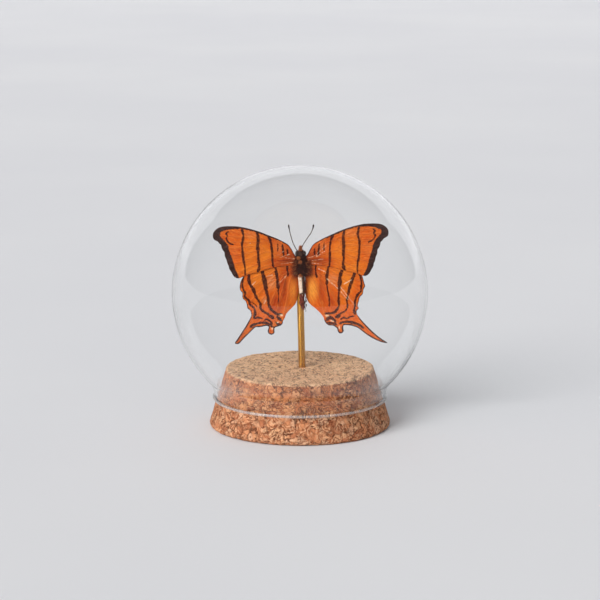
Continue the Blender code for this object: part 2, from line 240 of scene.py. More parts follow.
HINDWING_VEINS = {
    "left": [
        [(1.5, 0.6), (12.0, 1.6), (21.6, -2.4)],
        [(1.5, 0.0), (9.0, -0.2), (16.0, -2.8), (23.6, -6.4)],
        [(9.0, -0.2), (15.6, -5.2), (22.8, -10.8)],
        [(8.6, -1.6), (14.6, -8.0), (21.2, -14.6)],
        [(8.0, -2.6), (13.6, -10.4), (19.3, -18.4), (25.2, -29.6)],
        [(1.5, -0.4), (6.8, -3.2), (11.0, -12.0), (15.2, -23.0)],
        [(5.4, -2.4), (8.2, -12.0), (11.4, -25.6)],
        [(1.5, -0.8), (4.2, -5.0), (5.4, -12.0), (7.4, -21.6)],
        [(9.0, -0.2), (8.6, -1.6), (8.0, -2.6), (6.8, -3.2)],
    ],
    "right": [
        [(1.5, 0.8), (12.0, 2.0), (22.4, -1.4)],
        [(1.5, 0.2), (9.4, 0.2), (16.8, -2.0), (24.4, -5.6)],
        [(9.4, 0.2), (16.8, -4.6), (24.0, -9.8)],
        [(9.2, -1.2), (16.0, -7.6), (22.2, -14.0)],
        [(8.8, -2.4), (15.4, -10.2), (21.6, -18.2), (31.6, -29.0)],
        [(1.5, -0.4), (7.6, -3.0), (13.0, -12.0), (18.4, -22.4)],
        [(6.0, -2.2), (10.2, -11.6), (15.0, -25.2)],
        [(1.5, -0.8), (4.8, -5.0), (7.0, -11.6), (10.4, -21.4)],
        [(9.4, 0.2), (9.2, -1.2), (8.8, -2.4), (7.6, -3.0)],
    ],
}
HINDWING_ZONES = {
    "left": {
        "gold": [(17.2, -4.5, 3.0, 5.0, 0.9), (14.6, -1.2, 6.0, 2.6, 0.7), (17.0, -12.0, 2.4, 5.0, 0.3)],
        "rust": [(7.0, -8.0, 2.2, 8.6, 1.0), (9.6, -14.0, 3.4, 4.6, 1.0), (4.6, -1.5, 3.6, 2.2, 0.9)],
        "pale": [(11.7, -5.6, 2.2, 3.0, 0.85), (14.2, -12.8, 1.3, 1.8, 0.6), (9.0, -19.0, 1.2, 0.8, 0.8)],
        "cream": [(3.2, -8.8, 1.9, 5.0, 0.6)],
        "shade": [(1.6, -2.0, 2.6, 4.6, 1.0), (1.5, -8.0, 0.9, 6.0, 0.4), (6.4, -6.0, 0.6, 7.0, 0.35)],
    },
    "right": {
        "gold": [(17.6, -5.0, 3.0, 5.0, 0.9), (15.0, -0.8, 6.0, 2.6, 0.6), (16.0, -13.6, 1.8, 4.0, 0.4)],
        "rust": [(8.2, -9.6, 1.9, 7.6, 0.85), (11.6, -13.6, 3.0, 4.0, 0.75), (4.6, -1.2, 3.6, 2.2, 0.8)],
        "pale": [(12.4, -4.6, 2.3, 2.4, 0.8), (10.2, -19.0, 1.4, 0.9, 0.8)],
        "cream": [(4.4, -8.6, 2.2, 5.2, 1.0), (4.2, -7.6, 1.2, 3.0, 1.0)],
        "shade": [(1.6, -2.0, 2.6, 4.2, 1.0), (2.2, -12.6, 0.7, 2.6, 0.4), (7.4, -6.0, 0.6, 6.0, 0.35)],
    },
}


# ---------------------------------------------------------------------------
# Mesh tools
# ---------------------------------------------------------------------------


def mesh_object(name, points, faces, material, smooth=True):
    """An object from points in millimetres."""
    mesh = bpy.data.meshes.new(name)
    mesh.from_pydata((np.asarray(points) * MM).tolist(), [], [list(map(int, f)) for f in faces])
    mesh.update()
    if smooth:
        mesh.shade_smooth()
    if material:
        mesh.materials.append(material)
    made = bpy.data.objects.new(name, mesh)
    bpy.context.scene.collection.objects.link(made)
    return made


def add_floats(piece, **layers):
    for name, values in layers.items():
        layer = piece.data.attributes.new(name, "FLOAT", "POINT")
        layer.data.foreach_set("value", np.asarray(values, np.float32))


def add_vectors(piece, name, values):
    layer = piece.data.attributes.new(name, "FLOAT_VECTOR", "POINT")
    layer.data.foreach_set("vector", np.asarray(values, np.float32).reshape(-1))


def columns(*parts):
    """Rows of numbers from columns, where a column may be one number for all rows."""
    return np.stack(np.broadcast_arrays(*parts), axis=1).astype(float)


def round_axis(turns, depth=1.0):
    """Directions round an upright axis."""
    return columns(np.cos(turns), depth * np.sin(turns), 0.0)


def on_root(piece, slot, *nodes):
    """Hangs the piece under the root and hides the CAD nodes that it stands for."""
    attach(piece, "root")
    if nodes:
        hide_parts(*nodes)
    return piece


def catmull_rom(points, steps, closed=False):
    points = np.asarray(points, float)
    count = len(points)
    if closed:
        picks = [[points[(i + k) % count] for k in (-1, 0, 1, 2)] for i in range(count)]
    else:
        ends = np.vstack([2 * points[0] - points[1], points, 2 * points[-1] - points[-2]])
        picks = [ends[i : i + 4] for i in range(count - 1)]
    t = np.arange(steps)[:, None] / steps
    curve = []
    for a, b, c, d in picks:
        bend = (2 * a - 5 * b + 4 * c - d) * t**2 + (3 * b - a - 3 * c + d) * t**3
        curve.append(0.5 * (2 * b + (c - a) * t + bend))
    if not closed:
        curve.append(points[-1:])
    return np.vstack(curve)


def resample(points, spacing, closed=False):
    """The same line with evenly spaced points."""
    line = np.vstack([points, points[:1]]) if closed else points
    lengths = np.r_[0, np.cumsum(np.linalg.norm(np.diff(line, axis=0), axis=1))]
    count = max(2, int(round(lengths[-1] / spacing)) + (0 if closed else 1))
    along = np.linspace(0, lengths[-1], count, endpoint=not closed)
    return np.stack([np.interp(along, lengths, line[:, k]) for k in range(line.shape[1])], axis=1)


def to_line(points, line):
    """Distance from each point to a line, how far along it the nearest place is (0 to 1), and the side."""
    best = np.full(len(points), 1e9)
    along = np.zeros(len(points))
    side = np.zeros(len(points))
    last = len(line) - 1
    for k in range(last):
        start, step = line[k], line[k + 1] - line[k]
        offset = points - start
        t = np.clip(offset @ step / max(step @ step, 1e-12), 0, 1)
        gap = offset - t[:, None] * step
        distance = np.hypot(gap[:, 0], gap[:, 1])
        nearer = distance < best
        best = np.where(nearer, distance, best)
        along = np.where(nearer, (k + t) / last, along)
        side = np.where(nearer, np.sign(step[0] * offset[:, 1] - step[1] * offset[:, 0]), side)
    return best, along, side


def inside(points, outline):
    """True for points inside a closed outline."""
    odd = np.zeros(len(points), bool)
    for (x0, y0), (x1, y1) in zip(outline, np.roll(outline, -1, axis=0)):
        if y0 == y1:
            continue
        crosses = (points[:, 1] < y0) != (points[:, 1] < y1)
        odd ^= crosses & (points[:, 0] < x0 + (points[:, 1] - y0) / (y1 - y0) * (x1 - x0))
    return odd


def tube(path, radii, sides=10, squash=1.0):
    """Points and faces of a tube with closed, rounded ends along a path."""
    path = np.asarray(path, float)
    along = np.gradient(path, axis=0)
    along /= np.linalg.norm(along, axis=1)[:, None]
    across = np.cross(along[0], (0.0, 1.0, 0.0))
    if np.linalg.norm(across) < 0.1:
        across = np.cross(along[0], (1.0, 0.0, 0.0))
    points = []
    turns = np.arange(sides) * 2 * pi / sides
    for centre, forward, radius in zip(path, along, radii):
        across = across - forward * (across @ forward)
        across /= np.linalg.norm(across)
        over = np.cross(forward, across) * squash
        points.append(centre + radius * (np.cos(turns)[:, None] * across + np.sin(turns)[:, None] * over))
    rings = len(path)
    faces = []
    for i in range(rings - 1):
        for j in range(sides):
            k = (j + 1) % sides
            faces.append((i * sides + j, i * sides + k, (i + 1) * sides + k, (i + 1) * sides + j))
    tips = [path[:1] - along[:1] * radii[0] * 0.5, path[-1:] + along[-1:] * radii[-1] * 0.5]
    points = np.vstack(points + tips)
    first, last = rings * sides, rings * sides + 1
    for j in range(sides):
        k = (j + 1) % sides
        faces.append((k, j, first))
        faces.append(((rings - 1) * sides + j, (rings - 1) * sides + k, last))
    return points, faces


def joined(parts):
    """One list of points and faces from several."""
    points, faces, offset = [], [], 0
    for part_points, part_faces in parts:
        points.append(part_points)
        faces += [tuple(i + offset for i in face) for face in part_faces]
        offset += len(part_points)
    return np.vstack(points), faces


def revolve(profile, segments):
    """A closed skin from a profile (radius, height) that starts and ends on the axis."""
    points, faces, rings = [], [], []
    turns = np.arange(segments) * 2 * pi / segments
    for r, z in profile:
        if r < 1e-6:
            rings.append([len(points)] * segments)
            points.append((0.0, 0.0, z))
            continue
        rings.append(list(range(len(points), len(points) + segments)))
        points += [(r * cos(a), r * sin(a), z) for a in turns]
    for upper, lower in zip(rings, rings[1:]):
        for i in range(segments):
            j = (i + 1) % segments
            corners = (upper[i], lower[i], lower[j], upper[j])
            faces.append(tuple(dict.fromkeys(corners)))
    return np.array(points), faces


def arc(centre, radius, start, end, steps):
    angles = np.linspace(start, end, steps + 1)
    return [(centre[0] + radius * cos(a), centre[1] + radius * sin(a)) for a in angles]


# ---------------------------------------------------------------------------
# Material tools
# ---------------------------------------------------------------------------


def srgb(red, green, blue):
    """A linear colour from 0-255 display values."""
    parts = [value / 255 for value in (red, green, blue)]
    return (*[p / 12.92 if p <= 0.04045 else ((p + 0.055) / 1.055) ** 2.4 for p in parts], 1.0)


class Graph:
    """Short calls that build a node tree. An input takes a value or another node's output."""

    def __init__(self, tree):
        self.tree = tree

    def feed(self, socket, value):
        if isinstance(value, bpy.types.NodeSocket):
            self.tree.links.new(value, socket)
        else:
            socket.default_value = value

    def node(self, kind, inputs=None, **settings):
        made = self.tree.nodes.new(kind)
        for name, value in settings.items():
            setattr(made, name, value)
        for key, value in (inputs or {}).items():
            self.feed(made.inputs[key], value)
        return made

    def math(self, operation, *values):
        return self.node("ShaderNodeMath", dict(enumerate(values)), operation=operation).outputs[0]

    def times(self, first, second):
        return self.math("MULTIPLY", first, second)

    def vector(self, operation, *values, out="Vector"):
        made = self.node("ShaderNodeVectorMath", operation=operation)
        for index, value in enumerate(values):
            self.feed(made.inputs[index], value)
        return made.outputs[out]

    def scaled(self, vector, factor):
        made = self.node("ShaderNodeVectorMath", operation="SCALE")
        self.feed(made.inputs[0], vector)
        self.feed(made.inputs["Scale"], factor)
        return made.outputs[0]

    def mix(self, share, first, second, blend="MIX"):
        made = self.node("ShaderNodeMix", data_type="RGBA", blend_type=blend)
        self.feed(made.inputs[0], share)
        self.feed(made.inputs[6], first)
        self.feed(made.inputs[7], second)
        return made.outputs[2]

    def step(self, value, low, high, at_low=0.0, at_high=1.0):
        """A soft step from at_low to at_high while the value goes from low to high."""
        inputs = {"Value": value, "From Min": low, "From Max": high, "To Min": at_low, "To Max": at_high}
        return self.node("ShaderNodeMapRange", inputs, interpolation_type="SMOOTHSTEP").outputs[0]

    def noise(self, where, scale, detail=3.0, roughness=0.5, out=0):
        inputs = {"Vector": where, "Scale": scale, "Detail": detail, "Roughness": roughness}
        return self.node("ShaderNodeTexNoise", inputs).outputs[out]

    def voronoi(self, where, scale, feature="F1", randomness=1.0):
        inputs = {"Vector": where, "Scale": scale, "Randomness": randomness}
        return self.node("ShaderNodeTexVoronoi", inputs, feature=feature)

    def attribute(self, name, out="Fac"):
        return self.node("ShaderNodeAttribute", attribute_name=name).outputs[out]

    def object_place(self):
        return self.node("ShaderNodeTexCoord").outputs["Object"]

    def place_mm(self):
        return self.scaled(self.object_place(), 1 / MM)

    def bump(self, height, distance, strength=1.0):
        inputs = {"Height": height, "Distance": distance, "Strength": strength}
        return self.node("ShaderNodeBump", inputs).outputs[0]

    def dress(self, shader, tone, roughness, relief=None):
        """Feeds a Principled shader its colour, roughness and relief: (height, distance, strength)."""
        self.feed(shader.inputs["Base Color"], tone)
        self.feed(shader.inputs["Roughness"], roughness)
        if relief:
            self.feed(shader.inputs["Normal"], self.bump(*relief))


def new_material(name):
    """A material, its graph and its Principled shader."""
    made = bpy.data.materials.new(name)
    made.use_nodes = True
    return made, Graph(made.node_tree), made.node_tree.nodes["Principled BSDF"]


# ---------------------------------------------------------------------------
# Glass globe
# ---------------------------------------------------------------------------


def glass_material(name, roughness, transmission):
    """Glass with a faint green body. Lamps and light off matt surfaces go straight through."""
    made, g, shader = new_material(name)
    place = g.object_place()
    shader.inputs["Base Color"].default_value = (0.997, 1.0, 0.999, 1)
    shader.inputs["Transmission Weight"].default_value = transmission
    shader.inputs["IOR"].default_value = 1.36
    smear = g.noise(place, 180.0, 3.0)
    g.feed(shader.inputs["Roughness"], g.step(smear, 0.35, 0.65, 0.7 * roughness, roughness))
    ripples = g.noise(g.vector("MULTIPLY", place, (1.0, 1.0, 0.5)), 32.0, 2.0, 0.4)
    g.feed(shader.inputs["Normal"], g.bump(ripples, 0.2 * MM, 0.35))
    path = g.node("ShaderNodeLightPath")
    straight = g.math("MAXIMUM", path.outputs["Is Shadow Ray"], path.outputs["Is Diffuse Ray"])
    clear = g.node("ShaderNodeBsdfTransparent", {"Color": (0.976, 0.982, 0.98, 1)}).outputs[0]
    both = g.node("ShaderNodeMixShader", {0: straight, 1: shader.outputs[0], 2: clear}).outputs[0]
    output = g.tree.nodes["Material Output"]
    g.feed(output.inputs["Surface"], both)
    tint = g.node("ShaderNodeVolumeAbsorption")
    tint.inputs["Color"].default_value = (0.6, 0.84, 0.8, 1)
    tint.inputs["Density"].default_value = 3.0
    g.feed(output.inputs["Volume"], tint.outputs[0])
    return made


def make_globe():
    centre = (0.0, GLOBE_CENTRE_Z)
    drop = sqrt((GLOBE_R + NECK_FILLET) ** 2 - (NECK_R + NECK_FILLET) ** 2)
    fillet_centre = (NECK_R + NECK_FILLET, GLOBE_CENTRE_Z - drop)
    joint = atan2(-drop, fillet_centre[0])
    lip_centre = (LIP_R - LIP_BEAD_R, RIM_Z + LIP_BEAD_R)
    profile = arc(centre, GLOBE_R, pi / 2, joint, 64)
    profile += arc(fillet_centre, NECK_FILLET, joint + pi, pi, 12)[1:]
    profile += arc(lip_centre, LIP_BEAD_R, radians(55), -pi, 18)
    profile += arc(fillet_centre, NECK_FILLET + GLASS_WALL, pi, joint + pi, 12)
    profile += arc(centre, GLOBE_R - GLASS_WALL, joint, pi / 2, 64)[1:]
    profile[0] = (0.0, GLOBE_CENTRE_Z + GLOBE_R)
    profile[-1] = (0.0, GLOBE_CENTRE_Z + GLOBE_R - GLASS_WALL)
    points, faces = revolve(profile, GLOBE_SEGMENTS)
    # A blown wall is a little uneven: push it in and out by hundredths of a millimetre.
    sway = np.array([noise.noise(Vector(p) * 0.045) + 0.4 * noise.noise(Vector(p) * 0.11) for p in points])
    level = np.clip((points[:, 2] - RIM_Z - 4) / 10, 0, 1)  # the neck stays true
    away = points - (0.0, 0.0, GLOBE_CENTRE_Z)
    away /= np.linalg.norm(away, axis=1)[:, None]
    points += away * ((sway - 0.25) * 0.12 * level)[:, None]
    globe = mesh_object("globe", points, faces, glass_material("clear_glass", 0.0, 1.0))
    globe.data.materials.append(glass_material("ground_lip", 0.25, 0.84))
    for face in globe.data.polygons:
        face.material_index = int(face.center.z < (RIM_Z + LIP_HEIGHT) * MM)
    on_root(globe, "clear_glass", "glass_dome")


# ---------------------------------------------------------------------------
# Cork base
# ---------------------------------------------------------------------------


def cork_pattern(g, where):
    """Granules, growth rings, cracks and pits at a place in metres. The mesh and the colour share it."""
    p = g.scaled(where, 1 / MM)
    bends = g.vector("SUBTRACT", g.noise(p, 0.17, 2.0, 0.5, out=1), (0.5, 0.5, 0.5))
    frays = g.vector("SUBTRACT", g.noise(p, 0.9, 3.0, 0.6, out=1), (0.5, 0.5, 0.5))
    bent = g.vector("ADD", p, g.vector("ADD", g.scaled(bends, 5.5), g.scaled(frays, 1.3)))
    bent = g.vector("MULTIPLY", bent, (1.0, 1.0, 1.25))
    grains = g.voronoi(bent, 0.33)
    character = grains.outputs["Color"]
    red, green, blue = g.node("ShaderNodeSeparateXYZ", {0: character}).outputs[:3]
    seam = g.voronoi(bent, 0.33, "DISTANCE_TO_EDGE").outputs["Distance"]
    pith = g.vector("SUBTRACT", character, (0.5, 0.5, 0.5))
    from_grain = g.vector("SUBTRACT", bent, grains.outputs["Position"])
    reach = g.vector("LENGTH", g.vector("ADD", from_grain, g.scaled(pith, 9.0)), out="Value")
    drift = g.noise(p, 0.5, 2.0, 0.5)
    phase = g.math("MULTIPLY_ADD", reach, 5.2, g.times(drift, 12.0))
    wave = g.math("SINE", phase)
    ringed = g.step(g.noise(p, 0.42, 1.0), 0.34, 0.58)
    rings = g.times(g.step(wave, 0.45, 1.0), ringed)
    pale_rings = g.times(g.step(wave, -0.3, -0.98), ringed)
    open_seam = g.step(g.noise(p, 0.36, 2.0, 0.5), 0.5, 0.62)
    cracks = g.times(g.step(seam, 0.0, 0.16, 1.0, 0.0), open_seam)
    shaken = g.vector("ADD", bent, g.scaled(frays, 1.6))
    flakes = g.voronoi(shaken, 0.85, "DISTANCE_TO_EDGE").outputs["Distance"]
    flaked = g.step(g.noise(p, 0.3, 2.0, 0.5), 0.44, 0.6)
    cracks = g.math("MAXIMUM", cracks, g.times(g.step(flakes, 0.0, 0.1, 0.75, 0.0), flaked))
    specks = g.voronoi(g.vector("ADD", p, g.scaled(frays, 2.4)), 0.6)
    lot = g.node("ShaderNodeSeparateXYZ", {0: specks.outputs["Color"]}).outputs[0]
    holes = g.step(specks.outputs["Distance"], 0.08, 0.28, 1.0, 0.0)
    holes = g.times(holes, g.step(lot, 0.42, 0.48))
    grit = g.noise(p, 3.2, 3.0, 0.6)
    return {
        "p": p, "red": red, "green": green, "blue": blue, "seam": seam, "rings": rings,
        "pale_rings": pale_rings, "cracks": cracks, "holes": holes, "grit": grit, "drift": drift,
    }


def cork_material():
    made, g, shader = new_material("cork")
    look = cork_pattern(g, g.attribute("cork_place", "Vector"))
    tone = g.mix(look["red"], srgb(216, 138, 92), srgb(246, 184, 136))
    tone = g.mix(g.step(look["green"], 0.72, 0.86, 0.0, 0.75), tone, srgb(180, 106, 70))
    tone = g.mix(g.step(look["blue"], 0.78, 0.92, 0.0, 0.8), tone, srgb(236, 184, 146))
    tone = g.mix(g.step(look["drift"], 0.3, 0.7, 0.0, 0.3), tone, srgb(208, 134, 96))
    # Painted shade: the seams round each granule are darkened.
    tone = g.mix(g.step(look["seam"], 0.02, 0.2, 0.4, 0.0), tone, srgb(150, 84, 50))
    height = g.node("ShaderNodeSeparateXYZ", {0: look["p"]}).outputs[2]
    # The top face and its rounded edge are paler.
    paler_top = g.step(height, CORK_HEIGHT - 1.1, CORK_HEIGHT - 0.3, 0.0, 0.6)
    tone = g.mix(paler_top, tone, srgb(255, 218, 172))
    tone = g.mix(g.times(look["rings"], 0.8), tone, srgb(118, 54, 28))
    tone = g.mix(g.times(look["pale_rings"], 0.5), tone, srgb(248, 204, 162))
    tone = g.mix(g.step(look["grit"], 0.4, 0.72, 0.0, 0.4), tone, srgb(156, 90, 58))
    # Painted shade: the side that the neck covers is darkened to a deeper brown.
    painted_neck_shade = g.step(height, RIM_Z, RIM_Z + 1.5)
    painted_neck_shade = g.times(painted_neck_shade, g.step(height, CORK_HEIGHT - 1.6, CORK_HEIGHT - 0.6, 1.0, 0.0))
    tone = g.mix(painted_neck_shade, tone, (0.86, 0.72, 0.58, 1.0), "MULTIPLY")
    # Painted shade: cracks and pits are darkened to near black, as shade in their recesses.
    dark = g.math("MAXIMUM", g.times(look["cracks"], 0.8), g.times(look["holes"], 0.9))
    tone = g.mix(dark, tone, srgb(74, 34, 20))
    shader.inputs["Specular IOR Level"].default_value = 0.25
    raised = g.math("MULTIPLY_ADD", look["rings"], -0.35, g.times(look["grit"], 0.8))
    raised = g.math("MULTIPLY_ADD", dark, -1.0, raised)
    g.dress(shader, tone, g.step(look["grit"], 0.3, 0.7, 0.78, 0.95), (raised, 0.22 * MM, 0.9))
    return made


def cork_relief():
    """Geometry nodes that keep each point's first place and sink its cracks, pits and low granules."""
    tree = bpy.data.node_groups.new("cork_relief", "GeometryNodeTree")
    tree.interface.new_socket("Geometry", in_out="INPUT", socket_type="NodeSocketGeometry")
    tree.interface.new_socket("Geometry", in_out="OUTPUT", socket_type="NodeSocketGeometry")
    g = Graph(tree)
    start = g.node("NodeGroupInput").outputs[0]
    place = g.node("GeometryNodeInputPosition").outputs[0]
    kept = g.node("GeometryNodeStoreNamedAttribute", data_type="FLOAT_VECTOR", domain="POINT")
    kept.inputs["Name"].default_value = "cork_place"
    g.feed(kept.inputs["Geometry"], start)
    g.feed(kept.inputs["Value"], place)
    look = cork_pattern(g, place)
    sunk = g.math("MULTIPLY_ADD", look["red"], 0.16, 0.02)
    sunk = g.math("MULTIPLY_ADD", look["cracks"], 0.34, sunk)
    sunk = g.math("MULTIPLY_ADD", look["holes"], 0.5, sunk)
    sunk = g.math("MULTIPLY_ADD", look["grit"], 0.1, sunk)
    normal = g.node("GeometryNodeInputNormal").outputs[0]
    moved = g.node("GeometryNodeSetPosition")
    g.feed(moved.inputs["Geometry"], kept.outputs[0])
    g.feed(moved.inputs["Offset"], g.scaled(normal, g.times(sunk, -MM)))
    g.feed(g.node("NodeGroupOutput").inputs[0], moved.outputs[0])
    return tree


def make_cork():
    slope = (CORK_BOTTOM_R - CORK_TOP_R) / CORK_HEIGHT
    edge = CORK_EDGE
    profile = [(0.0, CORK_HEIGHT)]
    profile += arc((CORK_TOP_R - edge, CORK_HEIGHT - edge), edge, pi / 2, slope, 5)
    profile += arc((CORK_BOTTOM_R - edge, edge), edge, slope, -pi / 2, 6)
    profile += [(0.0, 0.0)]
    fine = resample(np.array(profile), CORK_SPACING)
    fine[0, 0] = 0.0
    fine[-1, 0] = 0.0
    # The base is never seen: a few wide rings close it.
    seen = fine[(fine[:, 1] > 0.01) | (fine[:, 0] > CORK_BOTTOM_R - 2.0)]
    profile = [tuple(p) for p in seen] + [(r, 0.0) for r in (30.0, 24.0, 16.0, 8.0, 0.0)]
    points, faces = revolve(profile, CORK_SEGMENTS)
    # A narrow hole round the rod.
    out = np.hypot(points[:, 0] - ROD_FOOT.x, points[:, 1] - ROD_FOOT.y)
    near_rod = (points[:, 2] > CORK_HEIGHT - 0.1) & (out < ROD_R + 0.3)
    points[near_rod, 2] -= 1.6
    cork = mesh_object("cork", points, faces, cork_material())
    modifier = cork.modifiers.new("relief", "NODES")
    modifier.node_group = cork_relief()
    settle(cork)
    on_root(cork, "cork", "cork_base")


def settle(piece):
    """Turns what the modifiers make into the piece's own mesh."""
    evaluated = piece.evaluated_get(bpy.context.evaluated_depsgraph_get())
    made = bpy.data.meshes.new_from_object(evaluated)
    piece.modifiers.clear()
    piece.data = made
    made.shade_smooth()


# ---------------------------------------------------------------------------
# Brass rod
# ---------------------------------------------------------------------------


def brass_material():
    made, g, shader = new_material("brass")
    place = g.object_place()
    drawn = g.noise(g.vector("MULTIPLY", place, (2600.0, 2600.0, 40.0)), 1.0, 3.0, 0.6)
    tarnish = g.noise(g.vector("MULTIPLY", place, (1.0, 1.0, 0.5)), 260.0, 4.0, 0.6)
    tone = g.mix(g.step(drawn, 0.3, 0.7), srgb(160, 102, 30), srgb(218, 164, 66))
    tone = g.mix(g.step(tarnish, 0.52, 0.75, 0.0, 0.55), tone, srgb(138, 86, 28))
    shader.inputs["Metallic"].default_value = 1.0
    shader.inputs["Anisotropic"].default_value = 0.6
    shader.inputs["Anisotropic Rotation"].default_value = 0.25
    g.dress(shader, tone, g.step(tarnish, 0.35, 0.75, 0.29, 0.4), (drawn, 0.02 * MM, 0.5))
    return made


def make_rod():
    below = CORK_HEIGHT - ROD_LOW[2]
    above = (ROD_TOP_Z - CORK_HEIGHT) / cos(ROD_LEAN)
    profile = [(0.0, above), (ROD_R - 0.15, above), (ROD_R, above - 0.15)]
    profile += [(ROD_R, z) for z in np.arange(above - 1.0, -below + 0.5, -1.0)]
    profile += [(ROD_R, -below + 0.2), (ROD_R - 0.15, -below), (0.0, -below)]
    points, faces = revolve(profile, 64)
    points = points @ np.array(Matrix.Rotation(-ROD_LEAN, 3, "Y")).T + np.array(ROD_FOOT)
    rod = mesh_object("rod", points, faces, brass_material())
    rod.data.set_sharp_from_angle(angle=radians(40))
    on_root(rod, "brass", "brass_rod")


# ---------------------------------------------------------------------------
# Wings
# ---------------------------------------------------------------------------


def scale_noises(g):
    """The wing's own coordinates and the noises its colours share."""
    ray = g.attribute("ray", "Vector")
    p = g.place_mm()
    return {
        "streak": g.noise(g.vector("MULTIPLY", ray, (0.2, 1.7, 1.0)), 1.0, 4.0, 0.62),
        "thread": g.noise(g.vector("MULTIPLY", ray, (0.5, 6.5, 1.0)), 1.0, 3.0, 0.55),
        "patch": g.noise(p, 0.17, 3.0, 0.55),
        "ragged": g.noise(p, 1.9, 3.0, 0.62),
        "scale": g.noise(p, 4.2, 2.0, 0.6),
        "rows": g.noise(g.vector("MULTIPLY", ray, (6.0, 1.6, 1.0)), 1.0, 2.0, 0.5),
    }


def stripe_mask(g, look, name, soft=0.05):
    """Where a dark mark shows, with an edge as ragged as rows of scales."""
    depth = g.attribute(name)
    depth = g.math("ADD", depth, g.math("MULTIPLY_ADD", look["ragged"], 1.15, -0.575))
    depth = g.math("ADD", depth, g.math("MULTIPLY_ADD", look["scale"], 0.24, -0.12))
    return g.step(depth, -soft, soft)


def upper_material():
    made, g, shader = new_material("wing_upper")
    look = scale_noises(g)
    tone = g.mix(g.step(look["streak"], 0.32, 0.68), srgb(212, 84, 12), srgb(230, 106, 20))
    tone = g.mix(g.step(look["patch"], 0.42, 0.66, 0.0, 0.4), tone, srgb(236, 120, 26))
    gold = g.times(g.attribute("gold"), g.step(look["streak"], 0.3, 0.6, 0.55, 1.0))
    tone = g.mix(gold, tone, srgb(240, 132, 30))
    rust = g.times(g.attribute("rust"), g.step(look["streak"], 0.35, 0.65, 0.45, 1.0))
    tone = g.mix(rust, tone, srgb(166, 44, 8))
    cream = g.times(g.attribute("cream"), g.step(look["streak"], 0.3, 0.6, 0.6, 1.0))
    tone = g.mix(cream, tone, srgb(248, 160, 60))
    worn = g.times(g.attribute("pale"), g.step(look["streak"], 0.38, 0.56, 0.2, 1.0))
    tone = g.mix(worn, tone, srgb(230, 146, 92))
    # Threads of darker and lighter scales along the veins, and cross rows of scales.
    tone = g.mix(g.step(look["thread"], 0.52, 0.7, 0.0, 0.68), tone, srgb(166, 48, 6))
    tone = g.mix(g.step(look["thread"], 0.3, 0.45, 0.6, 0.0), tone, srgb(248, 158, 66))
    tone = g.mix(g.step(look["rows"], 0.5, 0.66, 0.0, 0.45), tone, srgb(180, 62, 10))
    tone = g.mix(g.step(look["scale"], 0.6, 0.74, 0.0, 0.16), tone, srgb(248, 170, 92))
    vein = g.step(g.attribute("vein"), 0.03, 0.16, 1.0, 0.0)
    tone = g.mix(g.times(vein, 0.5), tone, srgb(158, 54, 12))
    beside = g.step(g.attribute("vein"), 0.1, 0.22)
    beside = g.times(beside, g.step(g.attribute("vein"), 0.25, 0.5, 1.0, 0.0))
    tone = g.mix(g.times(beside, 0.2), tone, srgb(244, 156, 76))
    dark = stripe_mask(g, look, "dark")
    # Veins and stray pale scales break the stripes.
    broken = g.times(vein, g.step(look["ragged"], 0.4, 0.6, 0.1, 0.6))
    stray = g.step(look["scale"], 0.6, 0.68, 0.0, 0.4)
    dark = g.times(dark, g.math("SUBTRACT", 1.0, g.math("MAXIMUM", broken, stray)))
    ink = g.mix(g.step(look["ragged"], 0.35, 0.65), srgb(26, 8, 8), srgb(62, 22, 14))
    tone = g.mix(g.times(dark, 0.96), tone, ink)
    # Painted shade: the wing roots darken in streaks next to the body.
    shade = g.times(g.attribute("shade"), g.step(look["streak"], 0.36, 0.58, 0.15, 1.0))
    tone = g.mix(shade, tone, srgb(92, 32, 14))
    border = stripe_mask(g, look, "border", 0.09)
    frost = g.times(g.step(look["streak"], 0.4, 0.66), g.step(look["scale"], 0.35, 0.6, 0.2, 0.7))
    soot = g.mix(frost, srgb(26, 15, 16), srgb(70, 54, 52))
    tone = g.mix(g.times(border, 0.97), tone, soot)
    scratch = stripe_mask(g, look, "white", 0.07)
    scratch = g.times(scratch, g.step(look["streak"], 0.36, 0.6, 0.3, 0.7))
    spot = g.times(g.step(g.attribute("white"), 0.0, 0.16), 0.92)
    scratch = g.math("MAXIMUM", scratch, spot)
    tone = g.mix(scratch, tone, srgb(244, 206, 168))
    shader.inputs["Specular IOR Level"].default_value = 0.06
    relief = g.math("MULTIPLY_ADD", look["thread"], 0.6, g.times(look["rows"], 0.35))
    relief = g.math("MULTIPLY_ADD", look["scale"], 0.25, relief)
    g.dress(shader, tone, g.step(look["scale"], 0.3, 0.7, 0.5, 0.7), (relief, 0.09 * MM, 0.8))
    return made


